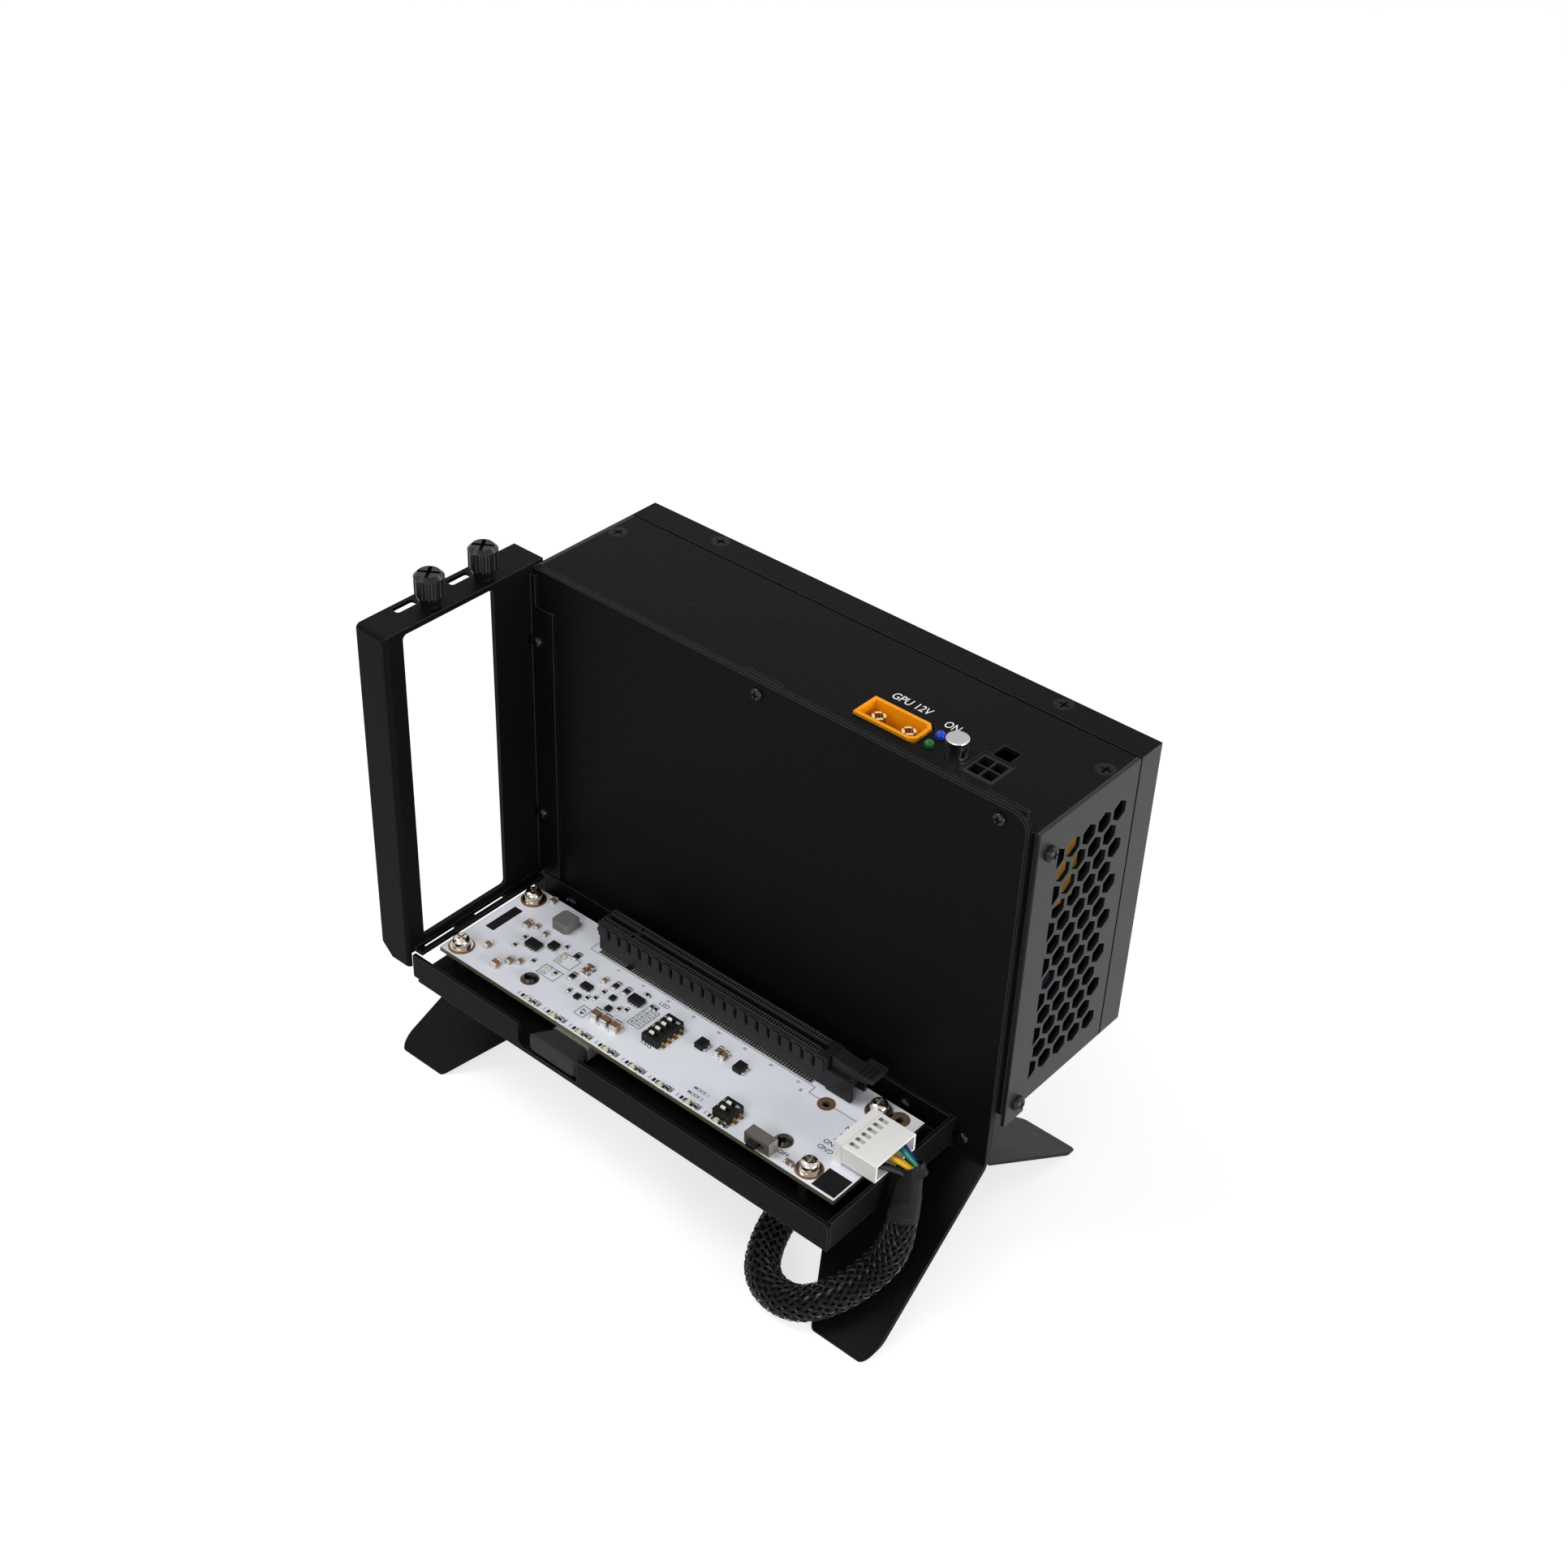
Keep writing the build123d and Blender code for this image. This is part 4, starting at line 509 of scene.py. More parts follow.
def grid_faces(
    rows: int, columns: int, close_rows: bool = False, close_columns: bool = False
) -> np.ndarray:
    """Quads of a grid of points numbered row by row.

    Args:
        rows: Number of rows.
        columns: Number of points in a row.
        close_rows: Join the last row to the first.
        close_columns: Join the last column to the first.

    Returns:
        Vertex numbers, four to a face.
    """
    along, across = np.arange(rows - (not close_rows)), np.arange(columns - (not close_columns))
    i, j = np.meshgrid(along, across, indexing="ij")
    down, right = (i + 1) % rows, (j + 1) % columns
    corners = (i * columns + j, i * columns + right, down * columns + right, down * columns + j)
    return np.stack(corners, axis=-1).reshape(-1, 4)


def make_piece(
    name: str,
    points: np.ndarray,
    faces: Sequence[Sequence[int]],
    looks: Sequence[Look],
    face_looks: Optional[np.ndarray] = None,
    sharp: float = 40.0,
) -> bpy.types.Object:
    """Turn arrays into a piece that rides on the dock.

    Args:
        name: The piece's name.
        points: Vertex places.
        faces: Vertex numbers of the faces.
        looks: Its finishes, in slot order.
        face_looks: Finish number of each face, where there is more than one.
        sharp: Edges that turn more than this many degrees stay sharp.

    Returns:
        The piece's object.
    """
    mesh = bpy.data.meshes.new(name)
    corners = [list(map(int, face)) for face in faces]
    mesh.from_pydata(np.asarray(points).reshape(-1, 3).tolist(), [], corners)
    mesh.polygons.foreach_set("use_smooth", np.ones(len(mesh.polygons), bool))
    mesh.set_sharp_from_angle(angle=math.radians(sharp))
    for look in looks:
        mesh.materials.append(look.material())
    if face_looks is not None:
        mesh.polygons.foreach_set("material_index", np.asarray(face_looks, dtype=np.int32))
    mesh.validate()
    mesh.update()
    piece = bpy.data.objects.new(name, mesh)
    bpy.context.scene.collection.objects.link(piece)
    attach(piece, BODY)
    log.info("%s: %d faces", name, len(mesh.polygons))
    return piece


BOX_CORNERS = np.array([[i, j, k] for i in (0, 1) for j in (0, 1) for k in (0, 1)])
BOX_FACES = np.array([[0, 1, 3, 2], [4, 6, 7, 5], [0, 4, 5, 1], [2, 3, 7, 6], [0, 2, 6, 4], [1, 5, 7, 3]])


def boxes(lows: np.ndarray, highs: np.ndarray) -> tuple[np.ndarray, np.ndarray]:
    """Many boxes at once: each corner is the low end plus its share of the span.

    Args:
        lows: Lowest corners, one to a row.
        highs: Highest corners, one to a row.

    Returns:
        Points and faces.
    """
    lows, highs = np.atleast_2d(lows), np.atleast_2d(highs)
    points = lows[:, None, :] + BOX_CORNERS[None] * (highs - lows)[:, None, :]
    faces = BOX_FACES[None] + len(BOX_CORNERS) * np.arange(len(lows))[:, None, None]
    return points.reshape(-1, 3), faces.reshape(-1, 4)


def soften(piece: bpy.types.Object, width: float, segments: int = 2) -> bpy.types.Object:
    """Round a piece's hard edges with a Bevel modifier.

    Args:
        piece: The piece.
        width: Width of the bevel in metres.
        segments: Steps across it.

    Returns:
        The same piece.
    """
    bevel = piece.modifiers.new("soft_edges", "BEVEL")
    bevel.width = width
    bevel.segments = segments
    bevel.limit_method = "ANGLE"
    return piece


def vertex_places(mesh: bpy.types.Mesh) -> np.ndarray:
    """A mesh's vertex places, one to a row."""
    places = np.zeros(3 * len(mesh.vertices), np.float32)
    mesh.vertices.foreach_get("co", places)
    return places.reshape(-1, 3).astype(float)


def loose_boxes(node: str) -> np.ndarray:
    """Boxes of the separate solids in a CAD node, found by joining triangles that share a corner.

    Args:
        node: The node's name.

    Returns:
        Lowest and highest corner of each solid, sorted by place.
    """
    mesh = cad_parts[node].data
    places = vertex_places(mesh)
    _, same = np.unique(np.round(places / WELD).astype(np.int64), axis=0, return_inverse=True)
    same = same.reshape(-1)
    mesh.calc_loop_triangles()
    corners = np.zeros(3 * len(mesh.loop_triangles), np.int32)
    mesh.loop_triangles.foreach_get("vertices", corners)
    triangles = same[corners].reshape(-1, 3)
    labels = np.arange(same.max() + 1)
    while True:
        lowest = labels[triangles].min(axis=1)
        fresh = labels.copy()
        np.minimum.at(fresh, triangles.reshape(-1), np.repeat(lowest, 3))
        fresh = fresh[fresh]
        if np.array_equal(fresh, labels):
            break
        labels = fresh
    groups = labels[same]
    members = [places[groups == group] for group in np.unique(groups)]
    found = [(member.min(0), member.max(0)) for member in members]
    return np.array(sorted(found, key=lambda pair: tuple(pair[0].round(6))))


def sweep_frames(path: np.ndarray) -> tuple[np.ndarray, np.ndarray, np.ndarray]:
    """Directions along a path and two that stay square to it.

    Args:
        path: Points along the path.

    Returns:
        Unit tangents, normals and binormals, carried along without twist.
    """
    tangents = np.gradient(path, axis=0)
    tangents /= np.linalg.norm(tangents, axis=1, keepdims=True)
    normals = np.zeros_like(path)
    normal = np.cross(tangents[0], (0.0, 1.0, 0.0))
    for index, tangent in enumerate(tangents):
        normal = normal - tangent * normal.dot(tangent)
        normal /= np.linalg.norm(normal)
        normals[index] = normal
    return tangents, normals, np.cross(tangents, normals)


def even_path(path: np.ndarray, count: int) -> np.ndarray:
    """Points spread evenly along a path by its length.

    Args:
        path: The path's points.
        count: How many points to give.

    Returns:
        The new points.
    """
    steps = np.r_[0.0, np.cumsum(np.linalg.norm(np.diff(path, axis=0), axis=1))]
    wanted = np.linspace(0.0, steps[-1], count)
    return np.stack([np.interp(wanted, steps, path[:, axis]) for axis in range(3)], axis=1)


def smooth_line(name: str, route: np.ndarray) -> np.ndarray:
    """The NURBS line that has a route's points as its control points.

    Args:
        name: Name of the curve that is made for it and removed.
        route: The route's points.

    Returns:
        Points along the line.
    """
    curve = bpy.data.curves.new(name, "CURVE")
    curve.dimensions = "3D"
    spline = curve.splines.new("NURBS")
    spline.points.add(len(route) - 1)
    spline.points.foreach_set("co", np.c_[route, np.ones(len(route))].ravel())
    spline.order_u = 3
    spline.use_endpoint_u = True
    spline.resolution_u = 24
    holder = bpy.data.objects.new(name, curve)
    mesh = bpy.data.meshes.new_from_object(holder)
    line = vertex_places(mesh)
    bpy.data.objects.remove(holder)
    bpy.data.curves.remove(curve)
    bpy.data.meshes.remove(mesh)
    return line


@dataclass
class Board:
    """The slot board's corner, from which places on it are counted."""

    corner: np.ndarray

    def at(self, x: float, y: float, z: float = 0.0) -> np.ndarray:
        """A place given in millimetres from the front left corner of the board's top face."""
        return self.corner + MM * np.array((x, y, z))


def find_board() -> Board:
    """The board's corner as the frame has it."""
    low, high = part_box("main_board")
    return Board(np.array((low.x, low.y, high.z)))


@dataclass
class Studio:
    """Camera of the photograph, soft lamps and a pale floor."""

    board: Board
    camera_place: tuple[float, float, float] = (413.235, -349.410, 456.908)
    right: tuple[float, float, float] = (0.7595, 0.6495, 0.0367)
    up: tuple[float, float, float] = (-0.4075, 0.4309, 0.8051)
    back: tuple[float, float, float] = (0.5071, -0.6264, 0.5919)
    lens: float = 53.26
    sensor: float = 36.0
    floor_size: float = 12.0
    floor_colour: Colour = (0.42, 0.42, 0.42)
    floor_glow: Colour = (0.7, 0.7, 0.7)
    ambient: float = 0.3
    aim: tuple[float, float, float] = (0.0, 0.0, 0.08)

    def build(self) -> None:
        """Set up the whole studio."""
        self.camera()
        self.lamp("key", (-0.75, -0.5, 1.55), (0.9, 0.9), 15.5)
        self.lamp("side", (1.6, 0.0, 0.3), (1.0, 0.5), 24.0)
        self.lamp("front", (0.35, -1.7, 0.9), (1.2, 0.8), 11.0)
        self.lamp("back", (1.0, 1.6, 1.2), (1.0, 0.7), 10.0)
        self.floor()
        self.world()
        bpy.context.scene.view_settings.view_transform = "Standard"

    def camera(self) -> None:
        """Place the camera by the pose solved from the photograph."""
        data = bpy.data.cameras.new("camera")
        data.lens = self.lens
        data.sensor_width = self.sensor
        data.clip_start = 0.01
        holder = bpy.data.objects.new("camera", data)
        turn = Matrix((self.right, self.up, self.back)).transposed().to_4x4()
        holder.matrix_world = Matrix.Translation(Vector(self.board.at(*self.camera_place))) @ turn
        bpy.context.scene.collection.objects.link(holder)
        bpy.context.scene.camera = holder

    def lamp(self, name: str, place: Sequence[float], size: Sequence[float], power: float) -> None:
        """Add a soft area lamp that looks at the dock.

        Args:
            name: The lamp's name.
            place: Where it stands.
            size: Its width and height.
            power: Its power in watts.
        """
        data = bpy.data.lights.new(name, "AREA")
        data.shape = "RECTANGLE"
        data.size, data.size_y = size
        data.energy = power
        holder = bpy.data.objects.new(name, data)
        way = Vector(self.aim) - Vector(place)
        turn = way.to_track_quat("-Z", "Y").to_matrix().to_4x4()
        holder.matrix_world = Matrix.Translation(Vector(place)) @ turn
        bpy.context.scene.collection.objects.link(holder)

    def seen(self, graph: Graph) -> Value:
        """1 for rays from the camera, a mirror or glass, and 0 for the rest.

        Args:
            graph: The node tree that asks.

        Returns:
            The mask.
        """
        rays = [
            graph.node("ShaderNodeLightPath", None, (), f"Is {kind} Ray")
            for kind in ("Camera", "Glossy", "Transmission")
        ]
        return rays[0].math("MAXIMUM", rays[1]).math("MAXIMUM", rays[2])

    def floor(self) -> None:
        """A pale floor that looks white to the camera and keeps the shadow."""
        half = self.floor_size / 2
        corners = [(-half, -half, 0), (half, -half, 0), (half, half, 0), (-half, half, 0)]
        mesh = bpy.data.meshes.new("floor")
        mesh.from_pydata(corners, [], [(0, 1, 2, 3)])
        graph = Graph("pale_floor")
        glow = graph.mix(self.seen(graph), (0.0, 0.0, 0.0), self.floor_glow)
        graph.surface(
            Base_Color=self.floor_colour, Roughness=0.9, Specular_IOR_Level=0.0,
            Emission_Color=glow, Emission_Strength=1.0,
        )
        mesh.materials.append(graph.material)
        holder = bpy.data.objects.new("floor", mesh)
        bpy.context.scene.collection.objects.link(holder)

    def world(self) -> None:
        """White surroundings for camera and mirror rays, and a dimmer light on matt surfaces."""
        graph = SkyGraph("studio")
        white, dim = (1.0, 1.0, 1.0), (self.ambient, self.ambient, self.ambient)
        graph.plug(graph.shader.inputs["Color"], graph.mix(self.seen(graph), dim, white))
        bpy.context.scene.world = graph.material


SHANK, TIP = 1.5, 0.02  # a screw's shank and pole radius in millimetres


@dataclass
class ScrewShape:
    """A turned screw with a cross cut into its head, as rings of a profile round the Z axis."""

    profile: Sequence[tuple[float, float]]
    cross_reach: float = 1.5
    cross_width: float = 0.55
    cross_depth: float = 0.9
    cross_slope: float = 0.35
    turns: int = 56
    rings: int = 12

    def points(self) -> np.ndarray:
        """The screw's surface in millimetres, seated at zero with its head up.

        The head's top is split into even rings, and a ring point sinks by the cross's depth where
        it lies in one of the two arms.

        Returns:
            Rings of points, from the top's middle to the shank's end.
        """
        first = np.array(self.profile[0])
        top = np.stack([np.linspace(TIP, first[0], self.rings), np.full(self.rings, first[1])], axis=1)
        outline = np.vstack([top, np.array(self.profile[1:])])
        angle = np.linspace(0, 2 * math.pi, self.turns, endpoint=False)
        x = outline[:, :1] * np.cos(angle)
        y = outline[:, :1] * np.sin(angle)
        z = np.repeat(outline[:, 1:], self.turns, axis=1)
        arms = (np.minimum(abs(x), abs(y)) < self.cross_width / 2) & (np.hypot(x, y) < self.cross_reach)
        arms[self.rings:] = False
        slope = 1.0 - self.cross_slope * np.hypot(x, y) / self.cross_reach
        return np.stack([x, y, z - np.where(arms, self.cross_depth * slope, 0.0)], axis=-1)


@dataclass
class Screws:
    """Groups of screws that stand in for the plain turned ones of the frame, in millimetres."""

    wide_head: float = 2.5
    round_slack: float = 0.3
    low_height: float = 1.1
    pan_height: float = 1.8
    sunk_height: float = 1.1
    stand_radius: float = 1.9
    end_radius: float = 2.3

    def place(self, shape: ScrewShape, seat: np.ndarray, axis: np.ndarray) -> tuple[np.ndarray, np.ndarray]:
        """Stand a screw on its seat.

        Args:
            shape: The screw.
            seat: Where its head sits.
            axis: The way its head points.

        Returns:
            Points and faces.
        """
        rings = shape.points() * MM
        turn = np.array(Vector((0, 0, 1)).rotation_difference(Vector(axis)).to_matrix())
        points = rings.reshape(-1, 3) @ turn.T + seat
        faces = grid_faces(*rings.shape[:2], close_columns=True)
        return points, faces

    def gather(
        self, name: str, node: Optional[str], placed: Sequence[tuple], look: Look
    ) -> None:
        """Join placed screws to one piece that may replace a node.

        Args:
            name: The piece's name.
            node: The CAD node it stands for, or None where another piece replaces it.
            placed: Points and faces of each screw.
            look: The finish.
        """
        count = np.cumsum([0] + [len(points) for points, _ in placed])
        faces = np.vstack([found + start for (_, found), start in zip(placed, count)])
        points = np.vstack([points for points, _ in placed])
        piece = make_piece(name, points, faces[:, ::-1], (look,), sharp=50)
        if node:
            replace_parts(piece, node)

    def pan(self, radius: float, height: float, length: float) -> ScrewShape:
        """A domed head on a shank.

        Args:
            radius: The head's radius in millimetres.
            height: The head's height.
            length: The shank's length.

        Returns:
            The screw.
        """
        dome = [(0.6 * radius, height), (0.8 * radius, 0.86 * height), (0.93 * radius, 0.62 * height)]
        rim = [(radius, 0.34 * height), (radius, 0.0), (SHANK, 0.0), (SHANK, -length), (TIP, -length)]
        return ScrewShape(dome + rim, cross_reach=0.58 * radius)

    def sunk(self, radius: float, length: float) -> ScrewShape:
        """A flat head that lies flush in its countersink."""
        cone = [(0.96 * radius, 0.0), (radius, -0.05), (1.6, -self.sunk_height)]
        cone += [(SHANK, -length), (TIP, -length)]
        return ScrewShape(cone, cross_reach=1.7)

    def washered(self, length: float) -> ScrewShape:
        """A pan head over a split ring and a flat washer."""
        head = [(1.5, 3.6), (2.15, 3.35), (2.6, 2.75), (2.75, 2.2), (2.75, 1.5), (2.4, 1.4), (2.9, 1.32)]
        ring = [(2.9, 0.55), (2.7, 0.5), (3.5, 0.45), (3.5, 0.0)]
        ring += [(SHANK, 0.0), (SHANK, -length), (TIP, -length)]
        return ScrewShape(head + ring, cross_reach=1.5, cross_depth=1.1)

    def build(self) -> None:
        """Replace the three groups of screws, the box's in two pieces: sunk and domed."""
        placed = []
        for low, high in loose_boxes("plate_screws"):
            radius = (high[0] - low[0]) / 2 / MM
            height = self.pan_height if radius > self.wide_head else self.low_height
            radius = min(radius, self.stand_radius)
            seat = np.array(((low[0] + high[0]) / 2, low[1] + height * MM, (low[2] + high[2]) / 2))
            length = (high[1] - low[1]) / MM - height
            placed.append(self.place(self.pan(radius, height, length), seat, np.array((0, -1, 0))))
        self.gather("plate_screws_crossed", "plate_screws", placed, Look.BLACK_SCREW)
        sunk, domed = [], []
        middle = (np.array(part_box("psu_body")[0]) + np.array(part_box("psu_body")[1])) / 2
        for low, high in loose_boxes("psu_screws"):
            size, centre = high - low, (low + high) / 2
            is_round = abs(size[1] - size[2]) < self.round_slack * MM
            axis = 0 if size[0] < min(size[1:]) and is_round else 2
            side = 1.0 if centre[axis] > middle[axis] else -1.0
            way = np.eye(3)[axis] * side
            radius, length = size[1] / 2 / MM, size[axis] / MM
            outer = centre + way * size[axis] / 2
            if axis == 2:
                sunk.append(self.place(self.sunk(radius, length), outer, way))
            else:
                shape = self.pan(min(radius, self.end_radius), self.pan_height, length - self.pan_height)
                domed.append(self.place(shape, outer - way * self.pan_height * MM, way))
        self.gather("box_screws_crossed", "psu_screws", sunk, Look.SUNK_SCREW)
        # painted light: the end screws take the lighter copy of the black screw finish
        self.gather("end_screws_crossed", None, domed, Look.END_SCREW)
        placed = []
        top_of_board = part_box("main_board")[1].z
        for low, high in loose_boxes("board_screws"):
            seat = np.array(((low[0] + high[0]) / 2, (low[1] + high[1]) / 2, top_of_board))
            shape = self.washered((top_of_board - low[2]) / MM)
            placed.append(self.place(shape, seat, np.array((0, 0, 1))))
        self.gather("board_screws_crossed", "board_screws", placed, Look.NICKEL)


@dataclass
class PowerLead:
    """The plug's six wires, their shrink tube and the braided lead that goes under the tray."""

    board: Board
    radius: float = 5.25 * MM
    core: float = 4.35 * MM
    ribbons: int = 14
    pitch: float = 46.0 * MM
    wave: float = 0.26 * MM
    ribbon_width: float = 1.0 * MM
    ribbon_ridge: float = 0.14 * MM
    steps: int = 420
    shrink_top: tuple[float, float, float] = (164.6, 20.2, 5.9)
    shrink_end: tuple[float, float, float] = (165.9, 16.0, -9.7)
    mouth: tuple[float, float, float] = (0.6, -0.1, -0.8)
    mouth_depth: float = 4.0 * MM
    shrink_neck: float = 3.9 * MM
    shrink_foot: float = 4.55 * MM
    drawn_in: float = 0.21
    drawn_length: float = 9.0 * MM
    wire_spread: float = 0.9 * MM
    wire_radius: float = 0.8 * MM
    grip: float = 1.9 * MM
    lead_in: float = 8.0 * MM
    lay_height: float = 5.35
    grommet_reach: float = 0.2
    core_turns: int = 32
    ribbon_points: int = 7
    ridges: int = 3
    shrink_grid: tuple[int, int] = (36, 96)
    shrink_wall: float = 0.7 * MM
    foot_wall: float = 0.3 * MM
    shrink_slack: float = 0.16 * MM
    fold: float = 0.3 * MM
    mouth_lobe: float = 0.35 * MM
    wrinkle: float = 0.07 * MM
    crease: float = 0.3 * MM
    crease_angle: float = 3.6
    crease_width: float = 0.09
    bed: float = 0.9
    tuck: float = 0.6
    wire_grid: tuple[int, int] = (28, 20)
    wire_hold: float = 2.7 * MM
    wire_stagger: float = 0.7 * MM
    pin_pitch: float = 2.54 * MM

    def route(self) -> np.ndarray:
        """The lead's points: out of the shrink tube, down over the leg and back under the box."""
        top, end = self.board.at(*self.shrink_top), self.board.at(*self.shrink_end)
        way = (end - top) / np.linalg.norm(end - top)
        floor = -self.board.corner[2] / MM + self.lay_height
        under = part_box("cable_grommet")[1].z / MM - self.board.corner[2] / MM + self.grommet_reach
        laid = [
            (164.3, 9.0, -26.0), (159.0, -2.5, -32.0), (149.5, -10.0, floor), (136.5, -8.5, floor),
            (128.0, 4.5, floor), (123.0, 24.0, floor), (112.0, 51.0, floor),
            (109.0, 75.0, -12.0), (109.0, 75.0, under),
        ]
        start = [end - way * self.grip, end + way * self.lead_in]
        return np.array(start + [self.board.at(*point) for point in laid])

    def build(self) -> None:
        wires = self.wires()
        shrink = self.shrink()
        line = smooth_line("lead_line", self.route())
        lead = self.braid(line)
        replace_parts(lead, "power_cable")

    def braid(self, line: np.ndarray) -> bpy.types.Object:
        """A dark core inside two sets of ribbons that wind opposite ways and pass over and under. The core
        is the wires inside, darker and matter than their own black: painted shade under the braid.

        A ribbon's middle lies at radius R + w cos(n k s) on the angle a + k s, where s is the distance
        along the line, k the turning rate and n the ribbons in a set; the other set has both signs
        turned. Across a ribbon three small ridges stand for its fibres. Where the shrink tube grips the
        braid, both radii are drawn in by a share that fades as exp(-(s / d)^2).

        Args:
            line: Points along the lead's middle.

        Returns:
            The lead's piece.
        """
        path = even_path(line, self.steps)
        _, normals, sides = sweep_frames(path)
        length = np.linalg.norm(np.diff(path, axis=0), axis=1).sum()
        along = np.linspace(0.0, length, self.steps)
        turning = 2 * math.pi / self.pitch
        middle = self.radius - self.wave - self.ribbon_ridge
        squeeze = 1 - self.drawn_in * np.exp(-((along / self.drawn_length) ** 2))
        across = np.linspace(-0.5, 0.5, self.ribbon_points)
        ridge = self.ribbon_ridge * abs(np.cos(self.ridges * math.pi * across))
        grids = []
        for sign in (1, -1):
            start = 2 * math.pi * np.arange(self.ribbons) / self.ribbons
            reach = middle + sign * self.wave * np.cos(self.ribbons * turning * along)
            angle = start[:, None, None] + sign * turning * along[None, :, None]
            angle = angle + across * self.ribbon_width / self.radius
            reach = (reach * squeeze)[None, :, None] + ridge
            offset = np.cos(angle)[..., None] * normals[None, :, None]
            offset = offset + np.sin(angle)[..., None] * sides[None, :, None]
            grids.append(path[None, :, None] + reach[..., None] * offset)
        ribbons = np.concatenate(grids)
        round_angle = np.linspace(0, 2 * math.pi, self.core_turns, endpoint=False)
        core = np.cos(round_angle)[:, None] * normals[:, None]
        core = core + np.sin(round_angle)[:, None] * sides[:, None]
        core_points = path[:, None] + self.core * squeeze[:, None, None] * core
        core_faces = grid_faces(self.steps, self.core_turns, close_columns=True)
        strip = grid_faces(self.steps, len(across))
        offsets = core_points.size // 3 + np.arange(len(ribbons)) * self.steps * len(across)
        strips = (strip[None] + offsets[:, None, None]).reshape(-1, 4)
        points = np.vstack([core_points.reshape(-1, 3), ribbons.reshape(-1, 3)])
        faces = np.vstack([core_faces, strips])
        looks = np.r_[np.zeros(len(core_faces), int), np.ones(len(strips), int)]
        # the core's finish is the wires' black with painted shade from the braid
        finishes = (Look.BUNDLE, Look.SLEEVE)
        return make_piece("braided_lead", points, faces, finishes, looks, 80)

    def shrink(self) -> bpy.types.Object:
        """A tapered sleeve with creases, as radius over angle and length.

        The middle runs straight from the mouth to the foot, and each ring's plane turns evenly from
        the mouth's tilt to the foot's. The radius grows from neck to foot, with shallow lengthwise
        folds that fade towards both ends and one sharp crease.

        Returns:
            The shrink tube's piece, with a UV map for its weave.
        """
        top, end = self.board.at(*self.shrink_top), self.board.at(*self.shrink_end)
        rows, turns = self.shrink_grid
        share = np.linspace(0, 1, rows)[:, None]
        angle = np.linspace(0, 2 * math.pi, turns, endpoint=False)
        swell = np.sin(math.pi * share)
        radius = self.shrink_neck + (self.shrink_foot - self.shrink_neck) * share - self.shrink_slack
        radius = radius + self.fold * swell * np.sin(3 * angle + 2.2 * share)
        radius = radius + self.mouth_lobe * (1 - share) ** 3 * np.sin(2 * angle + 0.7)
        radius = radius + self.wrinkle * np.sin(9 * angle + 5 * share) * swell * (1 - share)
        crease = np.exp(-(((angle - self.crease_angle) / self.crease_width) ** 2))
        radius = radius - self.crease * crease * swell
        inner_top = np.full((1, turns), self.shrink_neck - self.shrink_wall)
        inner_end = np.full((1, turns), self.shrink_foot - self.foot_wall)
        pole = np.full((1, turns), 0.01 * MM)
        radii = np.vstack([pole, inner_top, inner_top, radius, inner_end, inner_end])
        depth = self.bed * self.mouth_depth / np.linalg.norm(end - top)
        places = np.r_[depth, depth, 0.0, share[:, 0], 1.0, self.tuck][:, None]
        mouth = np.array(self.mouth) / np.linalg.norm(self.mouth)
        foot = (end - top) / np.linalg.norm(end - top)
        facing = mouth * (1 - places) + foot * places
        facing[:3] = mouth
        facing /= np.linalg.norm(facing, axis=1, keepdims=True)
        sides = np.cross(facing, (0.0, 1.0, 0.0))
        sides /= np.linalg.norm(sides, axis=1, keepdims=True)
        others = np.cross(facing, sides)
        middles = top + places * (end - top)
        middles[:2] = top + self.bed * self.mouth_depth * mouth
        spokes = np.cos(angle)[None, :, None] * sides[:, None]
        spokes = spokes + np.sin(angle)[None, :, None] * others[:, None]
        points = middles[:, None] + radii[..., None] * spokes
        faces = grid_faces(len(places), turns, close_columns=True)[:, ::-1]
        piece = make_piece("cloth_shrink_tube", points, faces, (Look.SHRINK,), sharp=60)
        i, j = np.meshgrid(np.arange(len(places) - 1), np.arange(turns), indexing="ij")
        corners = np.stack([(j, i + 1), (j + 1, i + 1), (j + 1, i), (j, i)])
        corners = corners / np.array((turns, len(places)))[:, None, None]
        uv = piece.data.uv_layers.new(name="weave")
        uv.data.foreach_set("uv", np.moveaxis(corners, (0, 1), (2, 3)).ravel())
        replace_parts(piece, "heat_shrink")
        return piece

    def wires(self) -> list[bpy.types.Object]:
        """Six wires on parabolas from the plug's mouth into the shrink tube, in their colours.

        Returns:
            One piece for each colour.
        """
        plug_low, plug_high = (np.array(corner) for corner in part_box("power_plug"))
        top = self.board.at(*self.shrink_top)
        mouth = np.array(self.mouth) / np.linalg.norm(self.mouth)
        colours = (
            Look.BLACK_WIRE, Look.BLACK_WIRE, Look.YELLOW_WIRE,
            Look.YELLOW_WIRE, Look.GREEN_WIRE, Look.BLUE_WIRE,
        )
        middle = (plug_low + plug_high) / 2
        steps, turns = self.wire_grid
        share = np.linspace(0, 1, steps)[:, None]
        angle = np.linspace(0, 2 * math.pi, turns, endpoint=False)[None, :, None]
        found: dict[Look, list[np.ndarray]] = {}
        for index, look in enumerate(colours):
            row = index - (len(colours) - 1) / 2
            side = -1 if index % 2 else 1
            start = np.array((plug_high[0] - self.wire_hold, *middle[1:]))
            start = start + np.array((0, self.pin_pitch * row, self.wire_stagger * side))
            finish = top + mouth * (self.mouth_depth - self.wire_radius)
            finish = finish + np.array((self.wire_stagger * side, self.wire_spread * row, 0))
            bend = finish - mouth * ((finish[2] - start[2]) / mouth[2])
            path = (1 - share) ** 2 * start + 2 * share * (1 - share) * bend + share**2 * finish
            _, normals, sides = sweep_frames(path)
            spokes = np.cos(angle) * normals[:, None] + np.sin(angle) * sides[:, None]
            found.setdefault(look, []).append(path[:, None] + self.wire_radius * spokes)
        pieces = []
        for look, tubes in found.items():
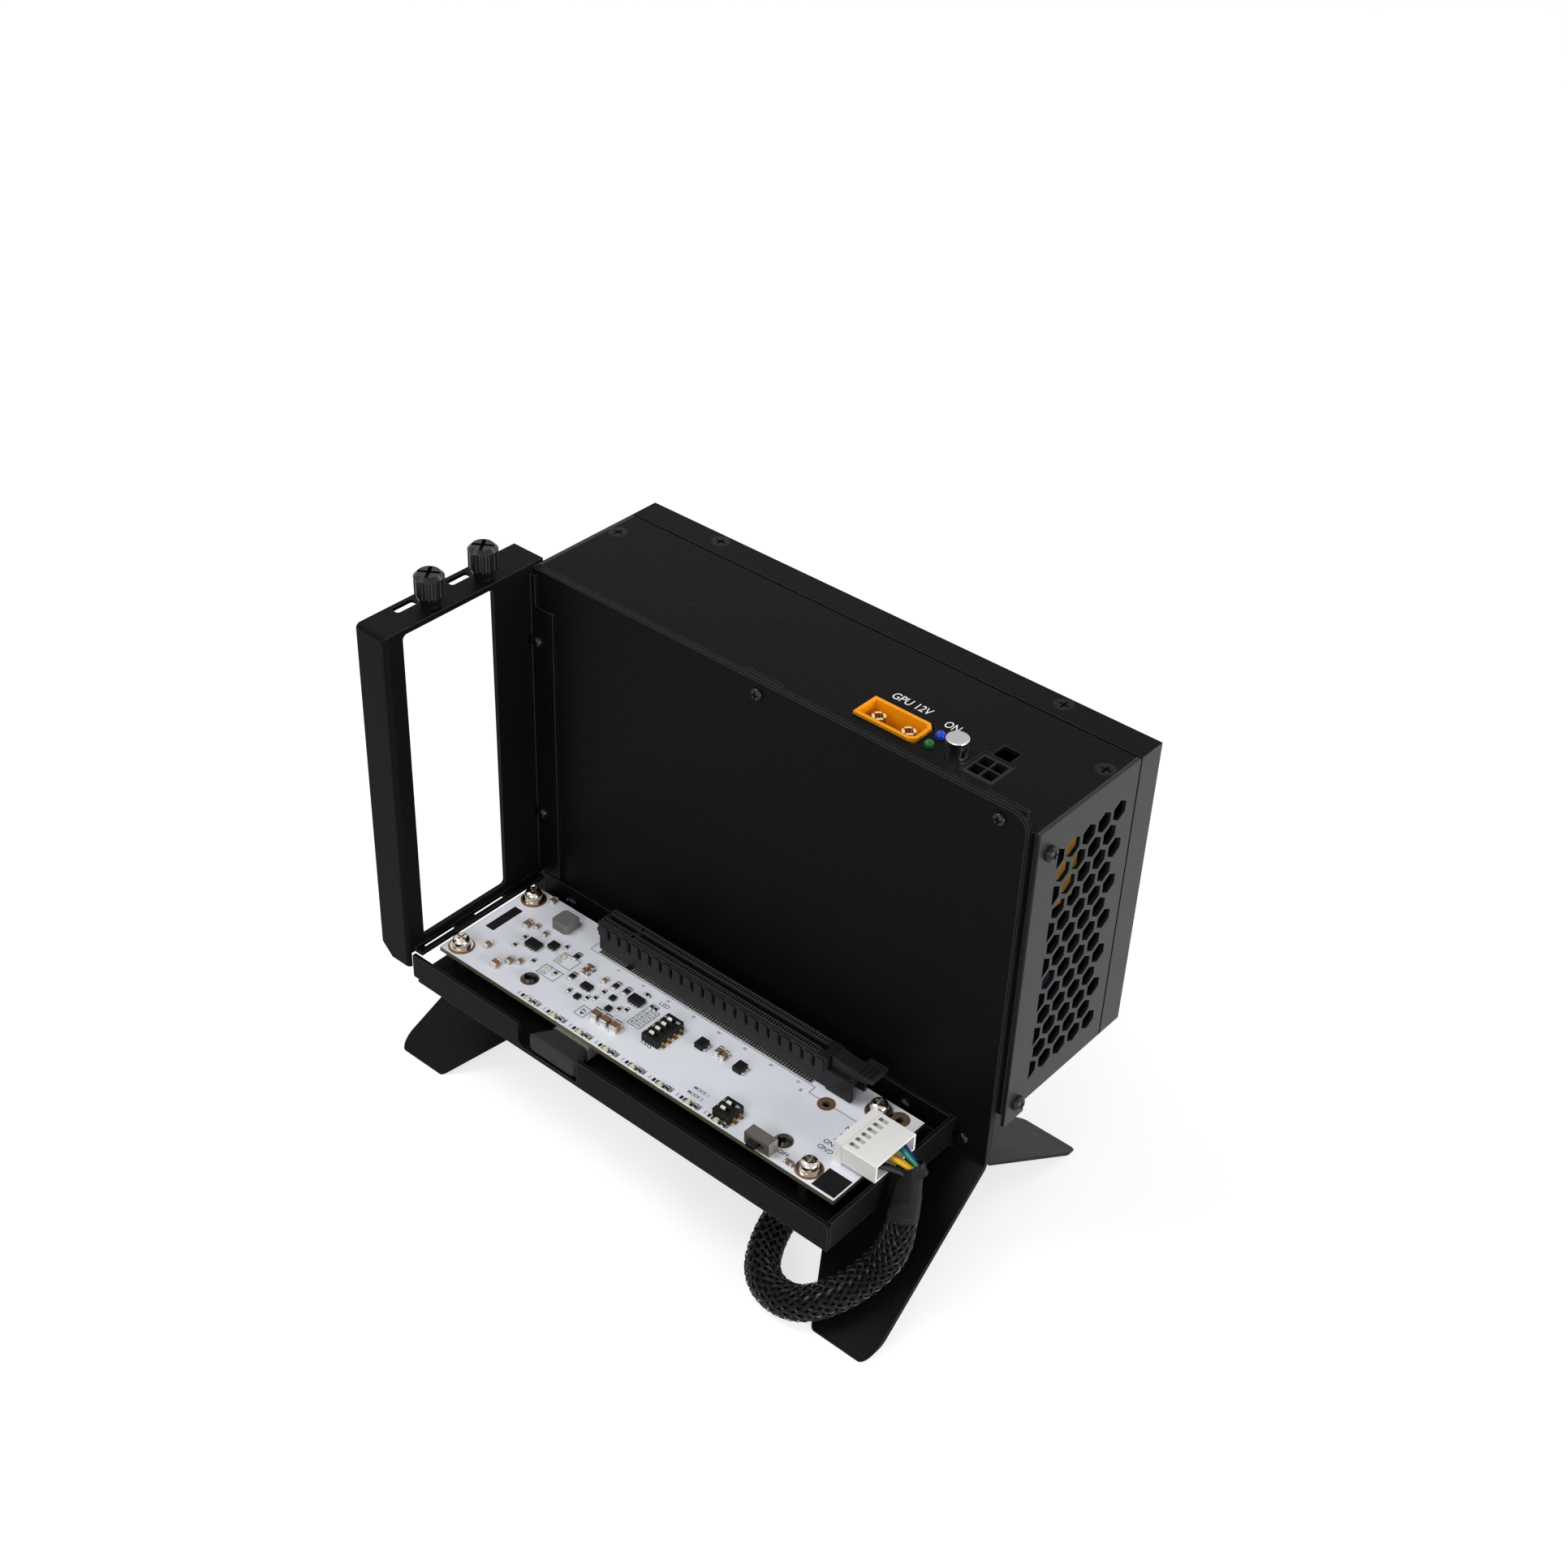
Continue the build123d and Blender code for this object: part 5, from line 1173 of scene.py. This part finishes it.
            tube_faces = grid_faces(steps, turns, close_columns=True)
            faces = np.vstack([tube_faces + steps * turns * number for number in range(len(tubes))])
            points = np.vstack([tube.reshape(-1, 3) for tube in tubes])
            pieces.append(make_piece(f"plug_{look.value.name}", points, faces, (look,)))
        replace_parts(pieces[0], "plug_wires")
        return pieces


@dataclass
class BoardTrim:
    """Small soldered parts: capacitors, resistors, lamps and chips with their metal ends and legs."""

    end_share: float = 0.24
    end_round: float = 0.09 * MM
    chip_round: float = 0.1 * MM
    chip_square: float = 0.1 * MM
    long_chip: float = 4.5 * MM
    thin_leg: float = 0.2 * MM
    wide_leg: float = 0.36 * MM
    leg_reach: float = 0.2
    leg_height: float = 0.45
    chip_inset: float = 0.16
    chip_lift: float = 0.12
    contact_half: float = 0.5 * MM
    pad_round: float = 0.2 * MM
    pit_floor: float = 0.05 * MM
    ear_boss: float = 1.1 * MM
    cheek: float = 9.0 * MM
    grooves: int = 20
    groove_pitch: float = 4.2 * MM
    pad_width: float = 3.0 * MM
    pad_lift: float = 0.4 * MM
    pad_low: float = 5.2 * MM
    pad_high: float = 1.2 * MM
    comb_near: float = 1.2 * MM
    comb_far: float = 3.1 * MM
    comb_wall: float = 0.26 * MM
    comb_height: float = 0.3 * MM

    def ended(self, name: str, node: str, body: Look, drop: float) -> None:
        """Parts with a tinned cap at each end of their longer side.

        Args:
            name: The piece's name.
            node: The CAD node it stands for.
            body: Finish of the middle.
            drop: How far the middle stays below and inside its caps, as a share.
        """
        found = loose_boxes(node)
        lows, highs = found[:, 0], found[:, 1]
        size = highs - lows
        long_axis = np.where(size[:, 0] > size[:, 1], 0, 1)
        picked = np.eye(3)[long_axis]
        caps = size * picked * self.end_share
        thin = size * (1 - picked) * np.array((0.5, 0.5, 0.0)) * drop
        body_low, body_high = lows + caps + thin, highs - caps - thin - size * np.array((0, 0, drop))
        points, faces = boxes(
            np.vstack([body_low, lows, highs - size * (1 - picked) - caps]),
            np.vstack([body_high, lows + size * (1 - picked) + caps, highs]),
        )
        kinds = np.r_[np.zeros(len(found), int), np.ones(2 * len(found), int)]
        looks = np.repeat(kinds, len(BOX_FACES))
        piece = make_piece(name, points, faces, (body, Look.TIN), looks, 30)
        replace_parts(soften(piece, self.end_round), node)

    def chips(self) -> None:
        """Chips on legs along two sides: across X where they are wider that way, or else across Y."""
        found = loose_boxes("board_chips")
        legs_low, legs_high, bodies = [], [], []
        for low, high in found:
            span = high - low
            across = 0 if span[0] > span[1] + self.chip_square else 1
            along = 1 - across
            count, half = (4, self.thin_leg) if span[along] > self.long_chip else (2, self.wide_leg)
            reach = self.leg_reach * span[across]
            inset = np.zeros(3)
            inset[across] = self.chip_inset * span[across]
            bodies.append((low + inset + np.array((0, 0, self.chip_lift * span[2])), high - inset))
            for middle in low[along] + span[along] * (np.arange(count) + 0.5) / count:
                for outer in (low[across], high[across] - reach):
                    corner = np.array((0.0, 0.0, low[2]))
                    corner[across], corner[along] = outer, middle - half
                    size = np.array((0.0, 0.0, self.leg_height * span[2]))
                    size[across], size[along] = reach, 2 * half
                    legs_low.append(corner)
                    legs_high.append(corner + size)
        bodies = np.array(bodies)
        points, faces = boxes(np.vstack([bodies[:, 0], legs_low]), np.vstack([bodies[:, 1], legs_high]))
        kinds = np.r_[np.zeros(len(found), int), np.ones(len(legs_low), int)]
        looks = np.repeat(kinds, len(BOX_FACES))
        finishes = (Look.CHIP, Look.TIN)
        piece = make_piece("board_chips_legged", points, faces, finishes, looks, 30)
        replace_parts(soften(piece, self.chip_round), "board_chips")

    def slot_cells(self) -> None:
        """Painted shade in the pits on the slot's top, as dark fields under a comb of thin walls with a
        painted highlight, and pads along both its sides.
        """
        low, high = (np.array(corner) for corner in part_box("card_slot"))
        middle, top = (low[1] + high[1]) / 2, high[2]
        places = np.unique(np.round(loose_boxes("slot_contacts").mean(axis=1)[:, 0] / MM, 3)) * MM
        sides = np.r_[places - self.contact_half, places + self.contact_half]
        walls = np.unique(np.round(sides / MM, 3)) * MM
        pits, lows, highs = [], [], []
        for side in (-1, 1):
            near, far = sorted((middle + side * self.comb_near, middle + side * self.comb_far))
            pits.append(((walls[0], near, top), (walls[-1], far, top + self.pit_floor)))
            lows += [(x - self.comb_wall / 2, near, top) for x in walls]
            highs += [(x + self.comb_wall / 2, far, top + self.comb_height) for x in walls]
            for rail in (near, far):
                lows.append((walls[0], rail - self.comb_wall / 2, top))
                highs.append((walls[-1], rail + self.comb_wall / 2, top + self.comb_height))
        pits = np.array(pits)
        points, faces = boxes(np.vstack([pits[:, 0], lows]), np.vstack([pits[:, 1], highs]))
        kinds = np.r_[np.zeros(len(pits), int), np.ones(len(lows), int)]
        looks = np.repeat(kinds, len(BOX_FACES))
        # painted shade in the pits and painted highlight on the comb's walls
        make_piece("slot_comb", points, faces, (Look.BUNDLE, Look.COMB), looks, 30)
        left, right = low[0] + self.ear_boss, high[0] - self.cheek
        steps = (np.arange(1 - self.grooves, self.grooves + 1, 2)) / 2
        pads = (left + right) / 2 + self.groove_pitch * np.r_[steps - 0.5, steps[-1] + 0.5]
        half, lift = self.pad_width / 2, self.pad_lift
        lows, highs = [], []
        for face in (low[1] - lift, high[1]):
            lows += [(x - half, face, top - self.pad_low) for x in pads]
            highs += [(x + half, face + lift, top - self.pad_high) for x in pads]
        points, faces = boxes(np.array(lows), np.array(highs))
        piece = make_piece("slot_pads", points, faces, (Look.SLOT,), sharp=30)
        soften(piece, self.pad_round)

    def build(self) -> None:
        """Make all the small parts."""
        self.ended("board_capacitors_capped", "board_capacitors", Look.TAN, 0.04)
        self.ended("board_resistors_capped", "board_resistors", Look.RESISTOR, 0.0)
        self.ended("board_lamps_capped", "board_leds", Look.LAMP, 0.0)
        self.chips()
        self.slot_cells()


@dataclass
class Print:
    """Lettering and lines on the board and on the power box."""

    board: Board
    film: float = 0.02 * MM
    line: float = 0.2 * MM
    pad_reach: float = 0.45
    feet_inset: float = 0.25
    bold: float = 0.004
    capital: float = 0.7
    ring_turns: int = 40
    vent_half: float = 2.9 * MM
    vent_cut: float = 0.0 * MM
    vent_pitch: float = 7.1 * MM
    vent_column: float = 9.4 * MM
    vent_drop: float = 49.7 * MM
    wire_pitch: float = 2.54 * MM
    window_count: int = 6
    window_start: float = 10.9 * MM
    window_length: float = 3.0 * MM
    window_deep: float = 1.2 * MM
    window_half: float = 0.62 * MM
    seam: float = 95.2
    seam_half: float = 0.22 * MM

    def letters(
        self, words: str, place: np.ndarray, height: float, turn: float = 0.0, width: Optional[float] = None
    ) -> tuple[np.ndarray, list[list[int]]]:
        """Flat letters lying face up.

        Args:
            words: What they say.
            place: Left end of the base line.
            height: Height of a capital in metres.
            turn: Direction of the line in degrees from +X.
            width: Length of the line in metres, where it is fixed.

        Returns:
            Points and faces.
        """
        curve = bpy.data.curves.new("letters", "FONT")
        curve.body = words
        curve.size = 1.0
        curve.resolution_u = 3
        curve.offset = self.bold
        holder = bpy.data.objects.new("letters", curve)
        mesh = bpy.data.meshes.new_from_object(holder)
        points = vertex_places(mesh)
        faces = [list(face.vertices) for face in mesh.polygons]
        bpy.data.objects.remove(holder)
        bpy.data.curves.remove(curve)
        bpy.data.meshes.remove(mesh)
        scale = height / self.capital
        span = points[:, 0].max() - points[:, 0].min()
        points[:, 0] = (points[:, 0] - points[:, 0].min()) * (width / span if width else scale)
        points[:, 1] *= scale
        cos, sin = math.cos(math.radians(turn)), math.sin(math.radians(turn))
        flat = points[:, :2] @ np.array(((cos, sin), (-sin, cos)))
        return np.c_[flat, np.zeros(len(flat))] + place + np.array((0, 0, self.film)), faces

    def write(
        self, points: np.ndarray, faces: list[list[int]], *line: object
    ) -> tuple[np.ndarray, list[list[int]]]:
        """Add a line of letters to a flat piece's arrays.

        Args:
            points: The piece's points so far.
            faces: Its faces so far.
            line: What the letters method takes.

        Returns:
            The longer points and faces.
        """
        found, found_faces = self.letters(*line)
        shifted = [[corner + len(points) for corner in face] for face in found_faces]
        return np.vstack([points, found]), faces + shifted

    def outline(
        self, x0: float, y0: float, x1: float, y1: float
    ) -> list[tuple[float, float, float, float]]:
        """The four sides of a box on the board, as thin spans in millimetres."""
        half = self.line / MM / 2
        return [
            (x0 - half, y0 - half, x1 + half, y0 + half),
            (x0 - half, y1 - half, x1 + half, y1 + half),
            (x0 - half, y0 - half, x0 + half, y1 + half),
            (x1 - half, y0 - half, x1 + half, y1 + half),
        ]

    def rings(self) -> None:
        """Bare copper rings round the board's holes, as flat bands between two radii."""
        low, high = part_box("main_board")
        screws = loose_boxes("board_screws").mean(axis=1)
        rivets = loose_boxes("board_rivets").mean(axis=1)
        spare = self.board.at(128.9, 27.2)[None]
        corner_hole = self.board.at(147.9, 36.2)[None]
        groups = [(screws, 3.0, 4.1), (rivets, 2.0, 2.9), (spare, 1.26, 2.7), (corner_hole, 1.26, 3.1)]
        turns = self.ring_turns
        angle = np.linspace(0, 2 * math.pi, turns, endpoint=False)
        rings = []
        for centres, inner, outer in groups:
            for centre in centres:
                for radius in (inner, outer):
                    ring = np.stack([np.cos(angle), np.sin(angle), 0 * angle], axis=1) * radius * MM
                    ring = ring + np.array((centre[0], centre[1], high.z + self.film))
                    ring[:, 0] = np.clip(ring[:, 0], low.x, high.x)
                    ring[:, 1] = np.clip(ring[:, 1], low.y, high.y)
                    rings.append(ring)
        pairs = np.array(rings).reshape(-1, 2, turns, 3)
        band = grid_faces(2, turns, close_columns=True)[:, ::-1]
        faces = (band[None] + 2 * turns * np.arange(len(pairs))[:, None, None]).reshape(-1, 4)
        make_piece("copper_rings", pairs, faces, (Look.COPPER,))

    def board_print(self) -> None:
        """Dark lines, fields and plain words on the white board, and a painted shadow under the row of slot
        contacts.
        """
        half = self.line / MM / 2
        spans = [
            (33.9, 30.2 - half, 122.3, 30.2 + half),
            (33.9 - half, 30.2, 33.9 + half, 33.6),
            (122.3 - half, 27.4, 122.3 + half, 30.2),
            (122.3, 27.4 - half, 126.2, 27.4 + half),
            (131.6, 27.4 - half, 139.8, 27.4 + half),
        ]
        for frame_box in ((29.2, 11.7, 36.1, 16.2), (29.6, 18.6, 36.2, 23.6), (50.2, 6.3, 53.7, 10.5)):
            spans += self.outline(*frame_box)
        rows = np.linspace(13.9, 22.8, 5)
        spans += [(64.5, y - half, 69.2, y + half) for y in rows]
        spans += [(x - half, rows[0], x + half, rows[-1]) for x in (64.5, 66.2, 69.2)]
        spans += [(145.4, 0.8, 153.4, 8.8), (2.9, 16.0, 6.3, 28.6)]
        # painted shade: a dark field on the board under the row of slot contacts, between their feet
        feet = (np.array(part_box("slot_contacts"))[:, :2] - self.board.corner[:2]) / MM
        spans.append((*(feet[0] + self.feet_inset), feet[1][0] - self.feet_inset, feet.mean(axis=0)[1]))
        starts = 34.7 + 10.55 * np.arange(8)
        for x in starts:
            spans += [(x - 2.5, 1.0, x - 2.3, 2.4), (x - 1.2, 0.9, x - 0.3, 2.3)]
            spans += [(x + 0.1, 0.9, x + 1.0, 2.3)]
            spans += [(x + 3.0, 2.5, x + 6.4, 2.7), (x + 4.4, 1.0, x + 4.8, 2.2)]
        self.fields("board_print", spans, Look.INK, self.words())
        pads = [(x + start, 0.8, x + start + 1.1, 2.3) for x in starts for start in (3.1, 5.2)]
        pads += self.part_pads()
        self.fields("board_pads", pads, Look.TIN, [])

    def part_pads(self) -> list[tuple[float, float, float, float]]:
        """Tinned pads that show past the ends of the soldered parts, in millimetres on the board."""
        nodes = ("board_capacitors", "board_resistors", "board_leds")
        found = np.concatenate([loose_boxes(node) for node in nodes])
        corners = (found[:, :, :2] - self.board.corner[:2]) / MM
        pads = []
        for low, high in corners:
            size = high - low
            long_axis = int(size[1] > size[0])
            for end, way in ((low, -1), (high, 1)):
                near, far = low.copy(), high.copy()
                reach = end[long_axis] + way * self.pad_reach
                near[long_axis], far[long_axis] = sorted((end[long_axis], reach))
                pads.append((near[0], near[1], far[0], far[1]))
        return pads

    def words(self) -> list[tuple[str, tuple[float, float], float, float]]:
        """Plain words and numbers: what they say, where they start, their height and their turn."""
        pins = ("GND", "GND", "12V", "12V", "ON", "5V")
        words = [(text, (142.4, 14.2 + 2.58 * row), 1.6, 180.0) for row, text in enumerate(pins)]
        words += [(str(10 * number), (46.6 + 10 * number, 28.2), 0.9, 0.0) for number in range(8)]
        words += [(str(4 - row), (64.9, 14.5 + 2.22 * row), 1.1, 0.0) for row in range(4)]
        words += [("ON", (66.6, 14.6 + 2.22 * row), 1.0, 0.0) for row in range(4)]
        words += [
            ("OFF", (130.7, 3.7), 1.5, 0.0), ("SW1", (77.2, 11.6), 1.6, 180.0),
            ("LED", (65.9, 25.8), 1.5, 0.0), ("MODE 1", (97.2, 6.6), 1.1, 0.0),
            ("MODE 2", (96.9, 4.2), 1.1, 0.0), ("B", (119.6, 26.0), 1.2, 0.0),
            ("12V", (29.8, 12.2), 1.2, 0.0), ("5V", (30.2, 19.1), 1.2, 0.0), ("47", (53.0, 7.0), 1.8, 90.0),
        ]
        return words

    def fields(
        self, name: str, spans: Sequence[Sequence[float]], look: Look,
        words: Sequence[tuple[str, tuple[float, float], float, float]],
    ) -> None:
        """Flat fields and words on the board as one piece.

        Args:
            name: The piece's name.
            spans: Low and high corners of the fields in millimetres on the board.
            look: The finish.
            words: What is written, where, how high and how turned.
        """
        corners = np.array(spans)[:, [0, 1, 2, 1, 2, 3, 0, 3]].reshape(-1, 4, 2)
        corners = corners * MM + self.board.corner[:2]
        height = np.full((*corners.shape[:2], 1), self.board.corner[2] + self.film)
        points = np.concatenate([corners, height], axis=2).reshape(-1, 3)
        faces = np.arange(len(points)).reshape(-1, 4).tolist()
        for text, (x, y), size, turn in words:
            points, faces = self.write(points, faces, text, self.board.at(x, y), size * MM, turn)
        make_piece(name, points, faces, (look,))

    def box_print(self) -> None:
        """White words behind the output socket and the button, and the numbers on the switches."""
        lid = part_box("psu_back_cover")[1].z
        points, faces = np.zeros((0, 3)), []
        words = [
            ("GPU 12V", np.array((*self.board.at(107.6, 72.1)[:2], lid)), 3.0 * MM, 12.9 * MM),
            ("ON", np.array((*self.board.at(126.2, 71.0)[:2], lid)), 3.0 * MM, 4.6 * MM),
        ]
        for bank, count in (("mode_switch", 4), ("light_switch", 2)):
            low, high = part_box(f"{bank}_body")
            for number in range(1, count + 1):
                knob_low, knob_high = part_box(f"{bank}_slider_{number}")
                place = np.array((low.x + 0.35 * MM, (knob_low.y + knob_high.y) / 2 - 0.45 * MM, high.z))
                words.append((str(number), place, 0.9 * MM, None))
            place = np.array((high.x - 1.7 * MM, high.y - 1.9 * MM, high.z))
            words.append(("ON", place, 0.9 * MM, 1.3 * MM))
        for text, place, size, width in words:
            points, faces = self.write(points, faces, text, place, size, 0.0, width)
        make_piece("box_print", points, faces, (Look.WHITE_INK,))

    def vent_halves(self) -> None:
        """Painted shade for seven part hexagon holes at the ends of the vent's long rows, as dark fields
        cut off along a line.

        With half width w and corner distance R = 2 w / sqrt 3, a field's corners are (w, R / 2) and
        (c, R - c R / 2 w), where c is the cut, and the same two below the middle.
        """
        low, high = (np.array(corner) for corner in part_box("psu_vent_end"))
        reach = 2 * self.vent_half / math.sqrt(3)
        edge = reach - self.vent_cut * reach / (2 * self.vent_half)
        steps = np.array((self.vent_cut, self.vent_half, self.vent_half, self.vent_cut))
        across = low[1] + self.vent_column + steps
        up = high[2] - self.vent_drop + np.array((-edge, -reach / 2, reach / 2, edge))
        rows = self.vent_pitch * math.sqrt(3) * np.arange(-3, 4)[:, None]
        spread = np.broadcast_arrays(high[0] + self.film, across, rows + up)
        points = np.stack(spread, axis=-1).reshape(-1, 3)
        faces = np.arange(len(points)).reshape(-1, 4).tolist()
        make_piece("vent_part_hole_shade", points, faces, (Look.GAP,))

    def plug_windows(self) -> None:
        """Painted shade in six recessed windows on the plug's top: each a pale grey bed with a darker deep
        end, as thin boxes.
        """
        low, high = (np.array(corner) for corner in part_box("power_plug"))
        count = self.window_count
        rows = (low[1] + high[1]) / 2 + self.wire_pitch * (np.arange(count) - (count - 1) / 2)
        start = high[0] - self.window_start
        lows, highs = [], []
        for first, last in ((self.window_deep, self.window_length), (0.0, self.window_deep)):
            lows += [(start + first, y - self.window_half, high[2]) for y in rows]
            highs += [(start + last, y + self.window_half, high[2] + self.film) for y in rows]
        points, faces = boxes(np.array(lows), np.array(highs))
        looks = np.repeat((0, 1), len(rows) * len(BOX_FACES))
        make_piece("plug_windows", points, faces, (Look.WINDOW, Look.DEEP), looks, 30)

    def seam_lines(self) -> None:
        """Painted shade in the joint between the box and its back cover, as thin dark boxes on the top and
        both ends.
        """
        low, high = (np.array(corner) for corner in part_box("psu_back_cover"))
        front, back = self.board.at(0, self.seam)[1] + self.seam_half * np.array((-1, 1))
        lows = [(low[0], front, high[2]), (high[0], front, low[2]), (low[0] - self.film, front, low[2])]
        highs = [(high[0], back, high[2] + self.film), (high[0] + self.film, back, high[2])]
        highs.append((low[0], back, high[2]))
        points, faces = boxes(np.array(lows), np.array(highs))
        # painted shade in the gap between the box and its cover
        make_piece("seam_lines", points, faces, (Look.GAP,), sharp=30)

    def build(self) -> None:
        """Make all the printing."""
        self.rings()
        self.board_print()
        self.box_print()
        self.vent_halves()
        self.plug_windows()
        self.seam_lines()


def dress_nodes() -> None:
    """Give every CAD node that shows its finish."""
    dress(Look.SHEET, "front_plate", "rear_plate", "bracket_frame", "board_tray")
    dress(Look.SHEET, "psu_body", "psu_back_cover")
    # painted light: the box's two ends and the back cover's right end take the lighter copy of the coat
    dress(Look.VENT_SHEET, "psu_vent_end", "psu_inlet_end")
    dress_end(Look.VENT_SHEET, "psu_back_cover")
    dress(Look.BLACK_SCREW, "thumbscrew_1", "thumbscrew_2")
    dress(Look.NICKEL, "board_posts", "psu_posts")
    dress(Look.MASK, "main_board")
    dress(Look.RIVET, "board_rivets")
    dress(Look.RUBBER, "cable_grommet")
    dress(Look.SLOT, "card_slot", "slot_latch", "fan_frame", "fan_rotor", "ac_inlet")
    dress(Look.TIN, "slot_contacts")
    dress(Look.GOLD, "switch_legs")
    dress(Look.BRASS, "socket_pins", "inlet_blades")
    dress(Look.SWITCH, "mode_switch_body", "light_switch_body", "slide_switch_knob")
    dress(Look.SWITCH, "button_body", "four_pin_socket")
    dress(Look.SLIDER, *[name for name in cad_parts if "_slider_" in name])
    dress(Look.CAN, "slide_switch_can", "data_port")
    dress(Look.NYLON, "power_header", "power_plug")
    dress(Look.FERRITE, "inductor")
    dress(Look.PLUG_RUBBER, "dust_plug")
    dress(Look.ORANGE, "dc_output_socket")
    dress(Look.GREEN_LAMP, "green_led")
    dress(Look.BLUE_LAMP, "blue_led")
    dress(Look.FIBRE, "psu_circuit_board")
    dress(Look.TAPE, "transformer")
    dress(Look.COIL, "choke")
    dress(Look.CELL, "psu_capacitors")
    dress(Look.SINK, "heat_sink")
    cap = CappedButton(
        "chrome_button", (0.75, 0.75, 0.76), 0.1, 1.0, 0.3 * MM, 0.002 * MM,
        cap_height=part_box("power_button")[1].z,
    ).build()
    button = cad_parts["power_button"].data.materials
    button.clear()
    button.append(cap)


def main() -> None:
    """Build the studio, then each sub-assembly."""
    logging.basicConfig(level=logging.INFO, format="%(name)s %(message)s")
    board = find_board()
    Studio(board).build()
    PowerLead(board).build()
    dress_nodes()
    Screws().build()
    BoardTrim().build()
    Print(board).build()


if __name__ == "__main__":
    main()
